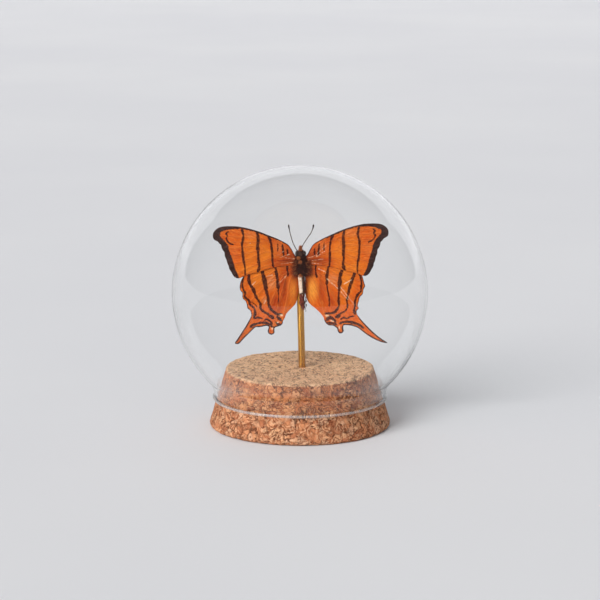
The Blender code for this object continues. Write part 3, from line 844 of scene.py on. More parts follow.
def under_material():
    made, g, shader = new_material("wing_underside")
    look = scale_noises(g)
    tone = g.mix(g.step(look["streak"], 0.3, 0.7), srgb(176, 118, 74), srgb(214, 164, 118))
    tone = g.mix(g.step(look["patch"], 0.42, 0.64, 0.0, 0.7), tone, srgb(196, 142, 110))
    tone = g.mix(g.times(g.attribute("gold"), 0.5), tone, srgb(226, 164, 100))
    tone = g.mix(g.step(look["thread"], 0.54, 0.72, 0.0, 0.5), tone, srgb(134, 84, 56))
    tone = g.mix(g.step(look["rows"], 0.5, 0.7, 0.0, 0.3), tone, srgb(150, 98, 66))
    vein = g.step(g.attribute("vein"), 0.05, 0.2, 1.0, 0.0)
    tone = g.mix(g.times(vein, 0.6), tone, srgb(120, 70, 44))
    dark = g.times(stripe_mask(g, look, "dark", 0.16), g.step(look["scale"], 0.36, 0.6, 0.8, 0.45))
    tone = g.mix(dark, tone, srgb(92, 54, 40))
    border = g.times(stripe_mask(g, look, "border", 0.2), 0.75)
    dust = g.mix(g.step(look["scale"], 0.4, 0.62), srgb(88, 64, 54), srgb(150, 124, 106))
    tone = g.mix(border, tone, dust)
    shader.inputs["Specular IOR Level"].default_value = 0.2
    relief = g.math("MULTIPLY_ADD", look["thread"], 0.6, g.times(look["rows"], 0.4))
    g.dress(shader, tone, g.step(look["scale"], 0.3, 0.7, 0.6, 0.82), (relief, 0.09 * MM, 0.8))
    return made


def patch_weight(points, patches):
    """Soft elliptical patches, blended, from 0 to 1."""
    weight = np.zeros(len(points))
    for u, w, across, up, strength in patches:
        distance = np.hypot((points[:, 0] - u) / across, (points[:, 1] - w) / up)
        weight = np.maximum(weight, strength * np.clip(1.35 - distance, 0, 1) ** 1.2)
    return weight


STRIPE_SWELL = {"forewing": 1.35, "hindwing": 1.5}  # the marks as drawn run a little narrow
WHITE_SWELL = 1.3
FAR = 9.0  # millimetres, farther than any mark reaches


def mark_depth(points, marks, rng, widen):
    """How deep each point lies in any mark, in millimetres; under 0 outside them all."""
    depth = np.full(len(points), -FAR)
    for half_width, line in marks:
        curve = resample(catmull_rom(line, 8), 0.25)
        away, along, _ = to_line(points, curve)
        knots = max(4, len(curve) // 5)
        swell = np.interp(along, np.linspace(0, 1, knots), rng.uniform(0.72, 1.25, knots))
        taper = np.clip(np.minimum(along, 1 - along) * len(curve) * 0.25 / 0.8 + 0.55, 0, 1)
        depth = np.maximum(depth, half_width * widen * swell * taper - away)
    return depth


def triangulated(outline, spacing, rng):
    """An even sheet of triangles inside an outline, and the vertices along its hem in order."""
    hem = resample(catmull_rom(outline, OUTLINE_STEPS, closed=True), spacing, closed=True)
    low, high = hem.min(axis=0), hem.max(axis=0)
    rows = np.arange(low[1], high[1], spacing * 0.866)
    across = np.arange(low[0], high[0], spacing)
    grid = np.array([(x + (j % 2) * spacing / 2, y) for j, y in enumerate(rows) for x in across])
    grid += rng.uniform(-0.12, 0.12, grid.shape) * spacing
    grid = grid[inside(grid, hem)]
    ring = np.vstack([hem, hem[:1]])
    grid = grid[to_line(grid, ring)[0] > spacing * 0.5]
    points = np.vstack([hem, grid])
    edges = [(i, (i + 1) % len(hem)) for i in range(len(hem))]
    made = delaunay_2d_cdt([Vector(p) for p in points.tolist()], edges, [], 1, 1e-6)
    return np.array([tuple(p) for p in made[0]]), [tuple(f) for f in made[2]]


def rim_edges(faces):
    """Edges used by only one triangle, in that triangle's order."""
    count = {}
    for face in faces:
        for a, b in zip(face, face[1:] + face[:1]):
            count[(a, b)] = count.get((a, b), 0) + 1
    return [(a, b) for a, b in count if (b, a) not in count]


def sheet_forward(points, vein, edge, is_hind, side):
    """How far each point of a wing stands forward of the flat: veins, pleats, wrinkles and curl."""
    u, w = points.T
    forward = 0.5 * np.sin(np.clip(u / 30, 0, 1) * pi) - 0.25
    forward += 0.1 * np.exp(-((vein / 0.22) ** 2)) - 0.14 * np.clip((vein - 0.3) / 1.3, 0, 1)
    grain = np.array([noise.noise(Vector((a * 0.35, b * 0.35, side * 7.0))) for a, b in points])
    fine = np.array([noise.noise(Vector((a * 0.5, b * 2.6, side * 3.0 + 1))) for a, b in points])
    forward += 0.14 * grain + 0.035 * fine
    forward -= 0.1 * np.exp(-((edge / 0.25) ** 2))
    if is_hind:
        hollow = np.clip((5.2 - u) / 4.0, 0, 1) * np.clip((-2.0 - w) / 4.0, 0, 1)
        forward -= 0.5 * hollow**2  # the inner margin rolls back round the abdomen
        tail = np.clip((-22.5 - w) / 7.0, 0, 1) * np.clip((u - 17.0) / 4.0, 0, 1)
        forward += 0.9 * tail**2 * side
        lobe = np.clip((-23.0 - w) / 3.0, 0, 1) * np.clip((17.5 - u) / 2.0, 0, 1)
        forward += 0.7 * lobe
    return forward


def make_wing(name, outline, design, materials, seed):
    kind, side_name = name.split("_")
    side = SIDES[side_name]
    is_hind = kind == "hindwing"
    rng = np.random.default_rng(seed)
    flat, faces = triangulated(outline, WING_SPACING, rng)
    hem = resample(catmull_rom(outline, OUTLINE_STEPS, closed=True), 0.25, closed=True)
    edge = to_line(flat, np.vstack([hem, hem[:1]]))[0]
    vein = np.full(len(flat), FAR)
    for line in design["veins"]:
        vein = np.minimum(vein, to_line(flat, resample(catmull_rom(line, 8), 0.4))[0])
    dark = mark_depth(flat, design["stripes"], rng, STRIPE_SWELL[kind])
    white = mark_depth(flat, design["white"], rng, WHITE_SWELL)
    if is_hind:
        curve = catmull_rom(outline, OUTLINE_STEPS, closed=True)
        outer = resample(curve[OUTLINE_STEPS * 5 : OUTLINE_STEPS * 40], 0.25)  # to past the anal lobe
        away = to_line(flat, outer)[0]
        tip = np.clip((-19.5 - flat[:, 1]) / 1.5, 0, 1)
        border = 0.26 + 0.2 * tip - away
        border = np.where(flat[:, 1] < -21.5, np.maximum(border, 0.5 - edge), border)
    else:
        line = catmull_rom(FOREWING_BORDER, 6)
        away, _, beyond = to_line(flat, line)
        border = np.where(flat[:, 0] > 21.8, away * beyond + 0.3, -FAR)
        costa = resample(catmull_rom(outline[:11], 8), 0.3)
        near_front = to_line(flat, costa)[0]
        border = np.maximum(border, np.interp(flat[:, 0], [6.0, 14.0], [0.3, 0.6]) - near_front)
        border = np.maximum(border, 0.08 - edge)
    # Streaks follow rays that leave the wing's root.
    offset = flat - (0.0, -1.0 if is_hind else 2.0)
    far = np.hypot(offset[:, 0], offset[:, 1])
    turn = np.arctan2(offset[:, 1], offset[:, 0])
    ray = columns(far, turn * (5.0 + 0.5 * far.mean()), 11.0 * seed)
    # Painted shade at the wing roots, next to the body.
    shade = patch_weight(flat, design["shade"])
    forward = sheet_forward(flat, vein, edge, is_hind, side) - LAYER[kind]
    upper = columns(side * flat[:, 0], -forward, flat[:, 1])
    lower = upper + (0.0, MEMBRANE, 0.0)
    tilt = WING_TILT.get(name, 0.0)
    turned = Matrix.Rotation(-side * DIHEDRAL, 3, "Z") @ Matrix.Rotation(-side * tilt, 3, "Y")
    points = np.vstack([upper, lower]) @ np.array(turned).T + np.array(HINGE)
    count = len(flat)
    front = [f if side > 0 else f[::-1] for f in faces]
    back = [tuple(i + count for i in f[::-1]) for f in front]
    rim = [(b, a, a + count, b + count) for a, b in rim_edges(front)]
    wing = mesh_object(name + "_sheet", points, front + back + rim, materials[0])
    wing.data.materials.append(materials[1])
    index = np.zeros(len(wing.data.polygons), np.int32)
    index[len(front) : len(front) + len(back)] = 1
    wing.data.polygons.foreach_set("material_index", index)
    wing.data.set_sharp_from_angle(angle=radians(60))
    layers = {"dark": dark, "border": border, "white": white, "vein": vein, "shade": shade}
    for zone in ("gold", "rust", "pale", "cream"):
        layers[zone] = patch_weight(flat, design[zone])
    add_floats(wing, **{key: np.tile(values, 2) for key, values in layers.items()})
    add_vectors(wing, "ray", np.tile(ray, (2, 1)))
    on_root(wing, "wing_membrane", name)


def make_wings():
    materials = (upper_material(), under_material())
    for index, side in enumerate(SIDES):
        fore = {"veins": FOREWING_VEINS, "stripes": FOREWING_STRIPES, "white": FOREWING_WHITE[side]}
        fore |= FOREWING_ZONES
        make_wing("forewing_" + side, FOREWING_OUTLINE, fore, materials, 11 + index)
        hind = {"veins": HINDWING_VEINS[side], "stripes": HINDWING_STRIPES[side]}
        hind |= {"white": HINDWING_PALE[side]} | HINDWING_ZONES[side]
        make_wing("hindwing_" + side, HINDWING_OUTLINE[side], hind, materials, 21 + index)


# ---------------------------------------------------------------------------
# Body
# ---------------------------------------------------------------------------


def body_x(z):
    return BODY_X + BODY_SLOPE * (z - HINGE.z)


def egg(centre, half, rings=36, sides=48, lumps=0.06, seed=0):
    """A lumpy egg: its points and faces."""
    profile = [(sin(t), cos(t)) for t in np.linspace(0, pi, rings + 1)]
    profile[0] = (0.0, 1.0)
    profile[-1] = (0.0, -1.0)
    points, faces = revolve(profile, sides)
    rough = np.array([noise.noise(Vector(p) * 2.1 + Vector((seed, 0, 0))) for p in points])
    fine = np.array([noise.noise(Vector(p) * 6.5 + Vector((0, seed, 0))) for p in points])
    points = points * (1 + lumps * rough + 0.4 * lumps * fine)[:, None]
    return points * np.array(half) + np.array(centre), faces


def strands(roots, directions, lengths, width, droop, levels):
    """Tapered three-sided hairs, all in one list of points and faces."""
    roots = np.asarray(roots, float)
    directions = directions / np.linalg.norm(directions, axis=1)[:, None]
    helper = np.where(np.abs(directions[:, [2]]) < 0.9, (0.0, 0.0, 1.0), (1.0, 0.0, 0.0))
    across = np.cross(directions, helper)
    across /= np.linalg.norm(across, axis=1)[:, None]
    over = np.cross(directions, across)
    count = len(roots)
    rings = []
    for level in range(levels):
        t = level / levels
        centre = roots + directions * (lengths * t)[:, None] + droop * (t * t)
        size = width * (1 - t) ** 0.6
        for turn in (0.0, 2 * pi / 3, 4 * pi / 3):
            rings.append(centre + size * (cos(turn) * across + sin(turn) * over))
    rings.append(roots + directions * lengths[:, None] + droop)
    step = levels * 3 + 1
    points = np.stack(rings, axis=1).reshape(count * step, 3)
    pattern = []
    for level in range(levels - 1):
        for k in range(3):
            a, b = level * 3 + k, level * 3 + (k + 1) % 3
            pattern.append((a, b, b + 3, a + 3))
    for k in range(3):
        pattern.append(((levels - 1) * 3 + k, (levels - 1) * 3 + (k + 1) % 3, levels * 3))
    pattern.append((2, 1, 0))
    faces = [tuple(i + n * step for i in face) for n in range(count) for face in pattern]
    return points, faces


def fur_material(name, dark, light):
    """Hair whose tone changes from strand to strand and along each strand."""
    made, g, shader = new_material(name)
    p = g.place_mm()
    tone = g.mix(g.attribute("lot"), dark, light)
    tone = g.mix(g.step(g.noise(p, 2.4, 3.0), 0.4, 0.65, 0.0, 0.4), tone, light)
    shader.inputs["Specular IOR Level"].default_value = 0.15
    g.dress(shader, tone, g.step(g.noise(p, 7.0, 2.0), 0.3, 0.7, 0.5, 0.7))
    return made


def skin_material(name, colours, scale=1.6, roughness=0.55):
    """Scaly or leathery skin in three tones, with pores."""
    made, g, shader = new_material(name)
    p = g.place_mm()
    cloud = g.noise(p, scale, 4.0, 0.6)
    plates = g.voronoi(p, scale * 4.0)
    tone = g.mix(g.step(cloud, 0.36, 0.6), colours[0], colours[1])
    tone = g.mix(g.step(plates.outputs["Distance"], 0.2, 0.6, 0.0, 0.5), tone, colours[2])
    shader.inputs["Specular IOR Level"].default_value = 0.35
    height = g.math("MULTIPLY_ADD", plates.outputs["Distance"], 0.6, cloud)
    g.dress(shader, tone, g.step(cloud, 0.3, 0.7, roughness, roughness + 0.2), (height, 0.08 * MM, 0.8))
    return made


def add_fur(name, roots, directions, lengths, width, droop, finish, rng, slot, levels):
    points, faces = strands(roots, directions, lengths, width, droop, levels)
    piece = mesh_object(name, points, faces, finish)
    lots = rng.uniform(0, 1, len(roots)) ** 1.6
    add_floats(piece, lot=np.repeat(lots, levels * 3 + 1))
    return on_root(piece, slot)


def on_egg(rng, centre, half, count):
    """Places on an egg with their outward directions."""
    way = rng.normal(size=(count, 3))
    way /= np.linalg.norm(way, axis=1)[:, None]
    outward = way / np.array(half)
    outward /= np.linalg.norm(outward, axis=1)[:, None]
    return np.array(centre) + way * np.array(half) * 0.97, outward


def make_thorax(finishes):
    rng = np.random.default_rng(31)
    centre, half = (0.7, -1.6, 63.0), (2.75, 2.6, 3.3)
    thorax = mesh_object("thorax_body", *egg(centre, half, seed=3), finishes["dark_skin"])
    on_root(thorax, "body_scales", "thorax")
    # A short dense coat, longer towards the wings.
    roots, outward = on_egg(rng, centre, half, 9000)
    sideways = np.abs(outward[:, 0])
    comb = columns(outward[:, 0] * 0.3, -0.1, -0.45)
    ways = outward + comb + rng.normal(size=roots.shape) * 0.28
    lengths = rng.uniform(0.45, 0.95, len(roots)) * (1 + 0.9 * sideways**2)
    droop = rng.normal(size=roots.shape) * 0.12 + (0.0, 0.0, -0.1)
    add_fur("thorax_coat", roots, ways, lengths, 0.055, droop, finishes["dark_fur"],
            rng, "body_scales", 3)
    # Paler hairs in three tufts down the back.
    tufts = [((-0.55, -4.1, 67.2), 0.45, 260), ((0.1, -4.5, 65.7), 0.5, 220), ((0.2, -3.9, 60.2), 0.6, 110)]
    roots = [np.array(c) + rng.normal(size=(n, 3)) * (s * 0.6, 0.1, s * 0.5) for c, s, n in tufts]
    roots = np.vstack(roots)
    ways = np.tile((0.0, -0.5, -0.75), (len(roots), 1)) + rng.normal(size=roots.shape) * 0.3
    lengths = rng.uniform(0.5, 1.0, len(roots))
    droop = rng.normal(size=roots.shape) * 0.1
    add_fur("collar_tufts", roots, ways, lengths, 0.05, droop, finishes["rust_fur"],
            rng, "rust_scales", 3)
    # A dark collar that fills the shoulders beside the head.
    count = 2600
    angle = rng.uniform(0, 2 * pi, count)
    rise = rng.uniform(65.0, 67.6, count)
    reach = np.interp(rise, [65.0, 66.4, 67.6], [3.4, 3.0, 1.7])
    out = round_axis(angle)
    roots = columns(body_x(rise), -2.1, rise)
    roots += out * columns(reach, 0.8 * reach, reach) * 0.7
    ways = out * 0.8 + (0.0, -0.1, 0.35) + rng.normal(size=out.shape) * 0.35
    add_fur("collar_coat", roots, ways, rng.uniform(0.5, 1.0, count), 0.055,
            rng.normal(size=out.shape) * 0.12, finishes["dark_fur"], rng, "body_scales", 3)
    # Long fine hairs that lie over the roots of the wings.
    for side_name, side in SIDES.items():
        count = 340
        height = rng.uniform(-3.6, 3.4, count)
        across = centre[0] + side * rng.uniform(1.3, 2.3, count)
        roots = columns(across, rng.uniform(-4.0, -3.0, count), HINGE.z + height * 0.7)
        slope = height * 0.17 + rng.normal(size=count) * 0.22
        ways = columns(side, rng.normal(size=count) * 0.05 - 0.08, slope)
        lengths = rng.uniform(1.0, 2.8, count) * np.where(rng.uniform(size=count) < 0.1, 1.5, 1.0)
        droop = columns(0.0, rng.uniform(-0.1, 0.35, count), rng.normal(size=count) * 0.35)
        pale = rng.uniform(size=count) < 0.16
        for name, pick, finish in (("pale", pale, "pale_fur"), ("brown", ~pale, "root_fur")):
            add_fur(f"root_hairs_{name}_{side_name}", roots[pick], ways[pick], lengths[pick],
                    0.035, droop[pick], finishes[finish], rng, "body_scales", 5)


def make_head(finishes):
    rng = np.random.default_rng(37)
    centre, half = (body_x(68.2), -2.3, 68.2), (1.5, 1.5, 1.75)
    head = mesh_object("head_body", *egg(centre, half, 30, 40, seed=9), finishes["dark_skin"])
    on_root(head, "body_scales", "head")
    roots, outward = on_egg(rng, centre, half, 1500)
    bare = np.abs(roots[:, 0] - centre[0]) > 1.0
    roots, outward = roots[~bare], outward[~bare]
    ways = outward + (0.0, -0.1, 0.3) + rng.normal(size=roots.shape) * 0.3
    lengths = rng.uniform(0.3, 0.65, len(roots))
    droop = rng.normal(size=roots.shape) * 0.08
    add_fur("head_coat", roots, ways, lengths, 0.04, droop, finishes["dark_fur"],
            rng, "body_scales", 3)
    for side_name, side in SIDES.items():
        place = (body_x(68.8) + side * 1.32, -2.5, 68.6)
        eye = mesh_object("eye_" + side_name, *egg(place, (0.85, 0.95, 1.1), 32, 44, 0.0), finishes["eye"])
        on_root(eye, "dark_horn")


def make_palps(finishes):
    rng = np.random.default_rng(41)
    for side_name, side in SIDES.items():
        x = body_x(70)
        path = catmull_rom([(x + side * 0.36, -2.7, 69.2), (x + side * 0.36, -2.95, 70.1),
                            (x + side * 0.3, -3.15, 70.9), (x + side * 0.2, -3.3, 71.6)], 6)
        radii = np.interp(np.linspace(0, 1, len(path)), [0, 0.3, 0.75, 1], [0.26, 0.32, 0.26, 0.1])
        palp = mesh_object("palp_stem_" + side_name, *tube(path, radii, 14), finishes["rust_skin"])
        on_root(palp, "rust_scales", "palp_" + side_name)
        pick = rng.integers(0, len(path), 420)
        turn = rng.uniform(0, 2 * pi, 420)
        out = round_axis(turn)
        roots = path[pick] + out * (radii[pick] * 0.9)[:, None]
        ways = out * 0.55 + (0.0, -0.1, 0.9) + rng.normal(size=out.shape) * 0.15
        add_fur("palp_scales_" + side_name, roots, ways, rng.uniform(0.2, 0.42, 420), 0.04,
                rng.normal(size=out.shape) * 0.03, finishes["rust_fur"], rng, "rust_scales", 2)


def abdomen_material():
    made, g, shader = new_material("abdomen")
    p = g.place_mm()
    cloud = g.noise(p, 1.4, 4.0, 0.6)
    fine = g.noise(p, 6.0, 3.0, 0.6)
    cream = g.mix(g.step(cloud, 0.36, 0.64), srgb(244, 222, 200), srgb(226, 190, 160))
    brown = g.mix(g.step(cloud, 0.36, 0.62), srgb(48, 24, 16), srgb(92, 50, 32))
    rust = g.mix(g.step(cloud, 0.36, 0.62), srgb(62, 18, 10), srgb(118, 46, 22))
    flank = g.math("ADD", g.attribute("flank"), g.math("MULTIPLY_ADD", fine, 0.5, -0.25))
    tone = g.mix(g.step(flank, -0.12, 0.12), brown, cream)
    low = g.math("ADD", g.attribute("low"), g.math("MULTIPLY_ADD", cloud, 1.6, -0.8))
    tone = g.mix(g.step(low, -0.3, 0.3), tone, rust)
    # Painted shade in the grooves between the segments.
    tone = g.mix(g.step(g.attribute("fold"), 0.55, 1.0, 0.0, 0.45), tone, srgb(58, 30, 20))
    shader.inputs["Specular IOR Level"].default_value = 0.3
    height = g.math("MULTIPLY_ADD", fine, 0.6, cloud)
    g.dress(shader, tone, g.step(fine, 0.3, 0.7, 0.55, 0.8), (height, 0.12 * MM, 0.8))
    return made


ABDOMEN = [  # height, half width, sideways shift of the middle
    (60.4, 0.9, -0.35), (59.6, 1.2, -0.35), (58.2, 1.32, -0.3), (56.0, 1.3, -0.28), (54.0, 1.2, -0.3),
    (52.6, 1.1, -0.4), (51.2, 1.05, -0.6), (49.6, 0.98, -0.75), (48.4, 0.86, -0.7), (47.2, 0.66, -0.45),
    (46.3, 0.3, -0.2),
]
LONG_SHRED = [
    (1.5, -3.0, 50.4), (1.95, -3.2, 48.8), (1.85, -3.2, 47.6), (2.25, -3.3, 46.4), (2.2, -3.2, 45.5),
]


def make_abdomen(finishes):
    rng = np.random.default_rng(43)
    knots = catmull_rom(ABDOMEN, 12)
    sides = 44
    points, flank, low, fold = [], [], [], []
    for z, half, shift in knots:
        ring = (60.5 - z) / 1.15
        crease = 1.0 - abs((ring % 1.0) - 0.5) * 2.0
        pinch = 0.93 + 0.07 * crease**0.5
        shrunk = np.clip((52.8 - z) / 4.0, 0, 1)
        for j in range(sides):
            turn = j * 2 * pi / sides
            rough = noise.noise(Vector((cos(turn) * 1.3, sin(turn) * 1.3, z * 0.6)))
            ragged = 1 + (0.08 + 0.4 * shrunk) * rough
            out = half * pinch * ragged
            points.append((body_x(z) + shift + out * cos(turn), -2.95 + 0.9 * out * sin(turn), z))
            flank.append(-cos(turn) * 0.8 + 0.08 - np.clip((53.4 - z) / 0.6, 0, 2))
            low.append((52.4 - z) / 1.5)
            fold.append((1 - crease) * (0.6 + 0.8 * rough))
    faces = []
    for i in range(len(knots) - 1):
        for j in range(sides):
            k = (j + 1) % sides
            faces.append((i * sides + j, (i + 1) * sides + j, (i + 1) * sides + k, i * sides + k))
    faces.append(tuple(range(sides)))
    faces.append(tuple(range(len(points) - 1, len(points) - sides - 1, -1)))
    abdomen = mesh_object("abdomen_body", points, faces, abdomen_material())
    add_floats(abdomen, flank=flank, low=low, fold=fold)
    on_root(abdomen, "abdomen_skin", "abdomen")
    # Shreds of dried skin at the broken tip, one of them long.
    shreds = []
    for number in range(9):
        z = rng.uniform(47.0, 51.5)
        side = 0.75 if number < 7 else -0.5
        start = np.array((body_x(z) + 0.35 + side * rng.uniform(0.6, 1.0), -3.1 + rng.normal() * 0.35, z))
        reach = rng.uniform(0.7, 1.5)
        end = start + (rng.normal() * 0.3, rng.normal() * 0.15, -reach)
        middle = (start + end) / 2 + (0.15, -0.1, 0.0)
        path = catmull_rom([start, middle, end], 6)
        shreds.append(tube(path, np.linspace(0.2, 0.05, len(path)), 8, 0.5))
    path = catmull_rom(LONG_SHRED, 6)
    shreds.append(tube(path, np.linspace(0.2, 0.07, len(path)), 8))
    torn = mesh_object("abdomen_shreds", *joined(shreds), finishes["dark_skin"])
    on_root(torn, "abdomen_skin")
    count = 900
    z = rng.uniform(52.5, 60.2, count)
    turn = rng.uniform(0, 2 * pi, count)
    half = np.interp(z, [a[0] for a in ABDOMEN[::-1]], [a[1] for a in ABDOMEN[::-1]])
    out = round_axis(turn, 0.9)
    roots = columns(body_x(z), -2.95, z) + out * (half * 0.93)[:, None]
    dark = np.cos(turn) > -0.1
    ways = out * 0.5 + (0.0, 0.0, -0.85) + rng.normal(size=out.shape) * 0.12
    lengths = rng.uniform(0.3, 0.6, count)
    droop = rng.normal(size=out.shape) * 0.05
    for name, pick, finish in (("dark", dark, "dark_fur"), ("pale", ~dark, "cream_fur")):
        add_fur("abdomen_down_" + name, roots[pick], ways[pick], lengths[pick], 0.028,
                droop[pick], finishes[finish], rng, "abdomen_skin", 2)


ANTENNAE = {
    "left": [
        (-0.1, -2.0, 68.9), (-1.2, -2.2, 69.8), (-2.6, -3.0, 72.6), (-3.5, -3.8, 75.6),
        (-4.1, -4.4, 78.3), (-4.4, -5.0, 80.3),
    ],
    "right": [
        (0.4, -2.0, 69.4), (0.85, -2.2, 71.2), (1.9, -2.6, 73.2), (3.1, -3.2, 75.1),
        (4.3, -3.8, 77.0), (5.0, -4.4, 78.9), (5.2, -5.0, 80.3),
    ],
}
ANTENNA_STEP = 0.055
ANTENNA_JOINT = 0.34  # length of one segment
ANTENNA_SIDES = 12
ANTENNA_RADII = [  # how far along, radius: a thin shaft and a club
    (0, 0.24), (0.05, 0.19), (0.3, 0.17), (0.8, 0.165), (0.88, 0.25), (0.96, 0.33), (1.0, 0.18),
]


def antenna_material():
    made, g, shader = new_material("antenna")
    p = g.place_mm()
    grime = g.noise(p, 5.0, 3.0, 0.6)
    tone = g.mix(g.step(grime, 0.35, 0.65), srgb(30, 20, 18), srgb(66, 44, 34))
    bands = g.times(g.attribute("band"), g.step(grime, 0.35, 0.6, 0.3, 0.8))
    tone = g.mix(bands, tone, srgb(168, 146, 128))
    g.dress(shader, tone, g.step(grime, 0.3, 0.7, 0.35, 0.6), (grime, 0.03 * MM, 0.6))
    return made


def make_antennae():
    finish = antenna_material()
    for side_name, knots in ANTENNAE.items():
        path = resample(catmull_rom(knots, 10), ANTENNA_STEP)
        along = np.linspace(0, 1, len(path))
        joint = (along * len(path) * ANTENNA_STEP / ANTENNA_JOINT) % 1.0
        radii = np.interp(along, *zip(*ANTENNA_RADII)) * (0.88 + 0.16 * np.sin(joint * pi) ** 0.5)
        shape = tube(path, radii, ANTENNA_SIDES)
        piece = mesh_object("antenna_stem_" + side_name, *shape, finish)
        # The pale end of each segment, except on the club.
        pale = np.where((joint > 0.78) & (along < 0.84), 1.0, 0.0)
        add_floats(piece, band=np.r_[np.repeat(pale, ANTENNA_SIDES), 0.0, 0.0])
        on_root(piece, "dark_horn", "antenna_" + side_name)


LEGS = {  # root, knee, ankle and claw: (outwards from the body's middle, Y, Z)
    "midleg": [(2.3, -0.5, 63.0), (4.1, 1.5, 64.8), (3.4, 2.5, 60.0), (2.9, 2.2, 57.1)],
    "hindleg": [(2.3, -0.5, 61.3), (4.4, 1.3, 60.1), (3.3, 2.6, 54.9), (2.8, 2.3, 52.1)],
}


def make_legs(finishes):
    rng = np.random.default_rng(47)
    for name, knots in LEGS.items():
        for side_name, side in SIDES.items():
            line = np.array([(BODY_X + side * u, y, z) for u, y, z in knots])
            thigh_path = resample(line[0:2], 0.12)
            thigh_radii = np.interp(np.arange(len(thigh_path)) / 25, [0, 0.4, 1], [0.2, 0.32, 0.2])
            thigh = tube(thigh_path, thigh_radii, 12)
            shin_path = resample(line[1:3], 0.12)
            shin = tube(shin_path, np.linspace(0.2, 0.15, len(shin_path)), 12)
            arch = (line[2] + line[3]) / 2 + (0, 0.15, 0)
            foot_path = resample(catmull_rom([line[2], arch, line[3]], 8), 0.08)
            steps = (np.arange(len(foot_path)) * 0.08 / 0.62) % 1.0
            foot = tube(foot_path, 0.09 + 0.06 * steps, 10)
            leg = mesh_object(f"{name}_parts_{side_name}", *joined([thigh, shin, foot]), finishes["horn"])
            on_root(leg, "dark_horn", f"{name}_{side_name}")
            count = 420
            pick = rng.integers(1, len(shin_path) - 1, count)
            turn = rng.uniform(0, 2 * pi, count)
            out = round_axis(turn)
            ways = out * 0.6 + (line[2] - line[1]) / np.linalg.norm(line[2] - line[1])
            add_fur(f"{name}_bristles_{side_name}", shin_path[pick] + out * 0.12, ways,
                    rng.uniform(0.15, 0.35, count), 0.018, np.zeros((count, 3)),
                    finishes["brown_fur"], rng, "dark_horn", 2)


def eye_material():
    made, g, shader = new_material("eye")
    p = g.place_mm()
    facets = g.voronoi(p, 9.0, randomness=0.3).outputs["Distance"]
    cloud = g.noise(p, 1.6, 3.0)
    tone = g.mix(g.step(cloud, 0.35, 0.65), srgb(26, 13, 10), srgb(70, 36, 22))
    tone = g.mix(g.step(facets, 0.35, 0.6, 0.0, 0.5), tone, srgb(14, 7, 6))
    g.dress(shader, tone, g.step(cloud, 0.3, 0.7, 0.18, 0.34), (facets, 0.03 * MM, 0.5))
    return made


def make_body():
    dark = (srgb(40, 22, 15), srgb(76, 44, 28), srgb(28, 15, 11))
    rust = (srgb(150, 74, 38), srgb(190, 104, 58), srgb(104, 46, 26))
    horn = (srgb(60, 38, 28), srgb(104, 72, 50), srgb(38, 24, 18))
    finishes = {
        "dark_skin": skin_material("body_skin", dark),
        "rust_skin": skin_material("rust_skin", rust),
        "horn": skin_material("leg_horn", horn, 2.4, 0.4),
        "eye": eye_material(),
        "dark_fur": fur_material("dark_fur", srgb(46, 18, 11), srgb(100, 46, 28)),
        "root_fur": fur_material("root_fur", srgb(58, 20, 10), srgb(142, 58, 22)),
        "brown_fur": fur_material("brown_fur", srgb(88, 58, 40), srgb(140, 102, 72)),
        "rust_fur": fur_material("rust_fur", srgb(150, 76, 38), srgb(214, 132, 74)),
        "pale_fur": fur_material("pale_fur", srgb(196, 104, 48), srgb(232, 160, 96)),
        "cream_fur": fur_material("cream_fur", srgb(216, 190, 154), srgb(244, 228, 202)),
    }
    make_thorax(finishes)
    make_head(finishes)
    make_palps(finishes)
    make_abdomen(finishes)
    make_legs(finishes)
    make_antennae()


# ---------------------------------------------------------------------------
# Floor, light and camera
# ---------------------------------------------------------------------------


FLOOR_R = 5000.0
SHEET_Y = 3000.0  # where the backdrop starts to rise
SHEET_BEND = 800.0
SHEET_TOP = 2600.0
SHEET_HALF_WIDTH = 4000.0


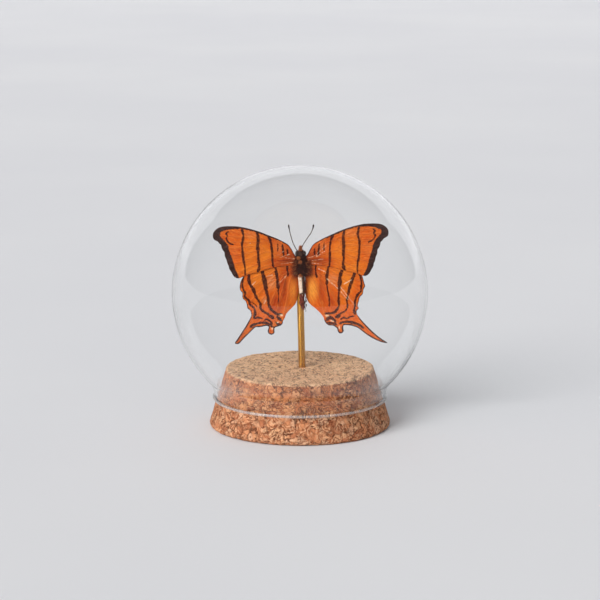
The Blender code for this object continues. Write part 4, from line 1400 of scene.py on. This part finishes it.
def make_floor():
    made, g, shader = new_material("paper")
    place = g.object_place()
    clouds = g.noise(place, 3.0, 3.0)
    tooth = g.noise(place, 900.0, 2.0)
    tone = g.mix(g.step(clouds, 0.3, 0.7), srgb(226, 226, 229), srgb(230, 230, 232))
    shader.inputs["Specular IOR Level"].default_value = 0.15
    g.dress(shader, tone, 0.9, (tooth, 0.05 * MM, 0.3))
    sides = 128
    disc = round_axis(np.arange(sides) * 2 * pi / sides) * FLOOR_R
    floor = mesh_object("floor", disc, [tuple(range(sides))], made, smooth=False)
    # A sheet that curves up far behind, so that the rim of the glass has something pale to show.
    bend = arc((SHEET_Y, SHEET_BEND + 1.0), SHEET_BEND, -pi / 2, 0.0, 16)
    sweep = [(SHEET_Y, 1.0)] + bend + [(SHEET_Y + SHEET_BEND, SHEET_TOP)]
    sheet = [(x, y, z) for x in (-SHEET_HALF_WIDTH, SHEET_HALF_WIDTH) for y, z in sweep]
    faces = [(i, i + len(sweep), i + len(sweep) + 1, i + 1) for i in range(len(sweep) - 1)]
    mesh_object("backdrop", sheet, faces, made)


def add_sun(name, place, energy, angle):
    """A soft distant lamp that shines towards the middle of the globe."""
    light = bpy.data.lights.new(name, "SUN")
    light.energy = energy
    light.cycles.use_multiple_importance_sampling = False  # no lamp shapes in the clear glass
    light.angle = radians(angle)
    lamp = bpy.data.objects.new(name, light)
    lamp.location = place
    lamp.rotation_euler = (Vector((0.0, 0.0, 0.05)) - Vector(place)).to_track_quat("-Z", "Y").to_euler()
    bpy.context.scene.collection.objects.link(lamp)


def make_light():
    scene = bpy.context.scene
    world = bpy.data.worlds.new("studio")
    world.use_nodes = True
    world.node_tree.nodes["Background"].inputs["Color"].default_value = (0.95, 0.97, 1.0, 1)
    world.node_tree.nodes["Background"].inputs["Strength"].default_value = 0.2
    scene.world = world
    add_sun("key", (-1.5, -1.6, 1.4), 2.85, 36)
    add_sun("fill", (1.2, -1.5, 1.0), 0.25, 60)
    add_sun("top", (0.0, 0.6, 2.0), 0.42, 60)


def make_camera():
    """A long lens 0.9 m in front of the globe that looks a little down."""
    view = bpy.data.cameras.new("camera")
    view.lens = 141.0
    view.sensor_width = 36.0
    view.clip_start = 0.01
    view.clip_end = 20.0
    camera = bpy.data.objects.new("camera", view)
    camera.location = (0.0, -0.9, 0.2332)
    camera.rotation_euler = (pi / 2 - radians(11.53), 0.0, 0.0)
    bpy.context.scene.collection.objects.link(camera)
    bpy.context.scene.camera = camera


def main():
    bpy.context.scene.view_settings.view_transform = "Standard"
    make_globe()
    make_cork()
    make_rod()
    make_wings()
    make_body()
    make_floor()
    make_light()
    make_camera()


main()
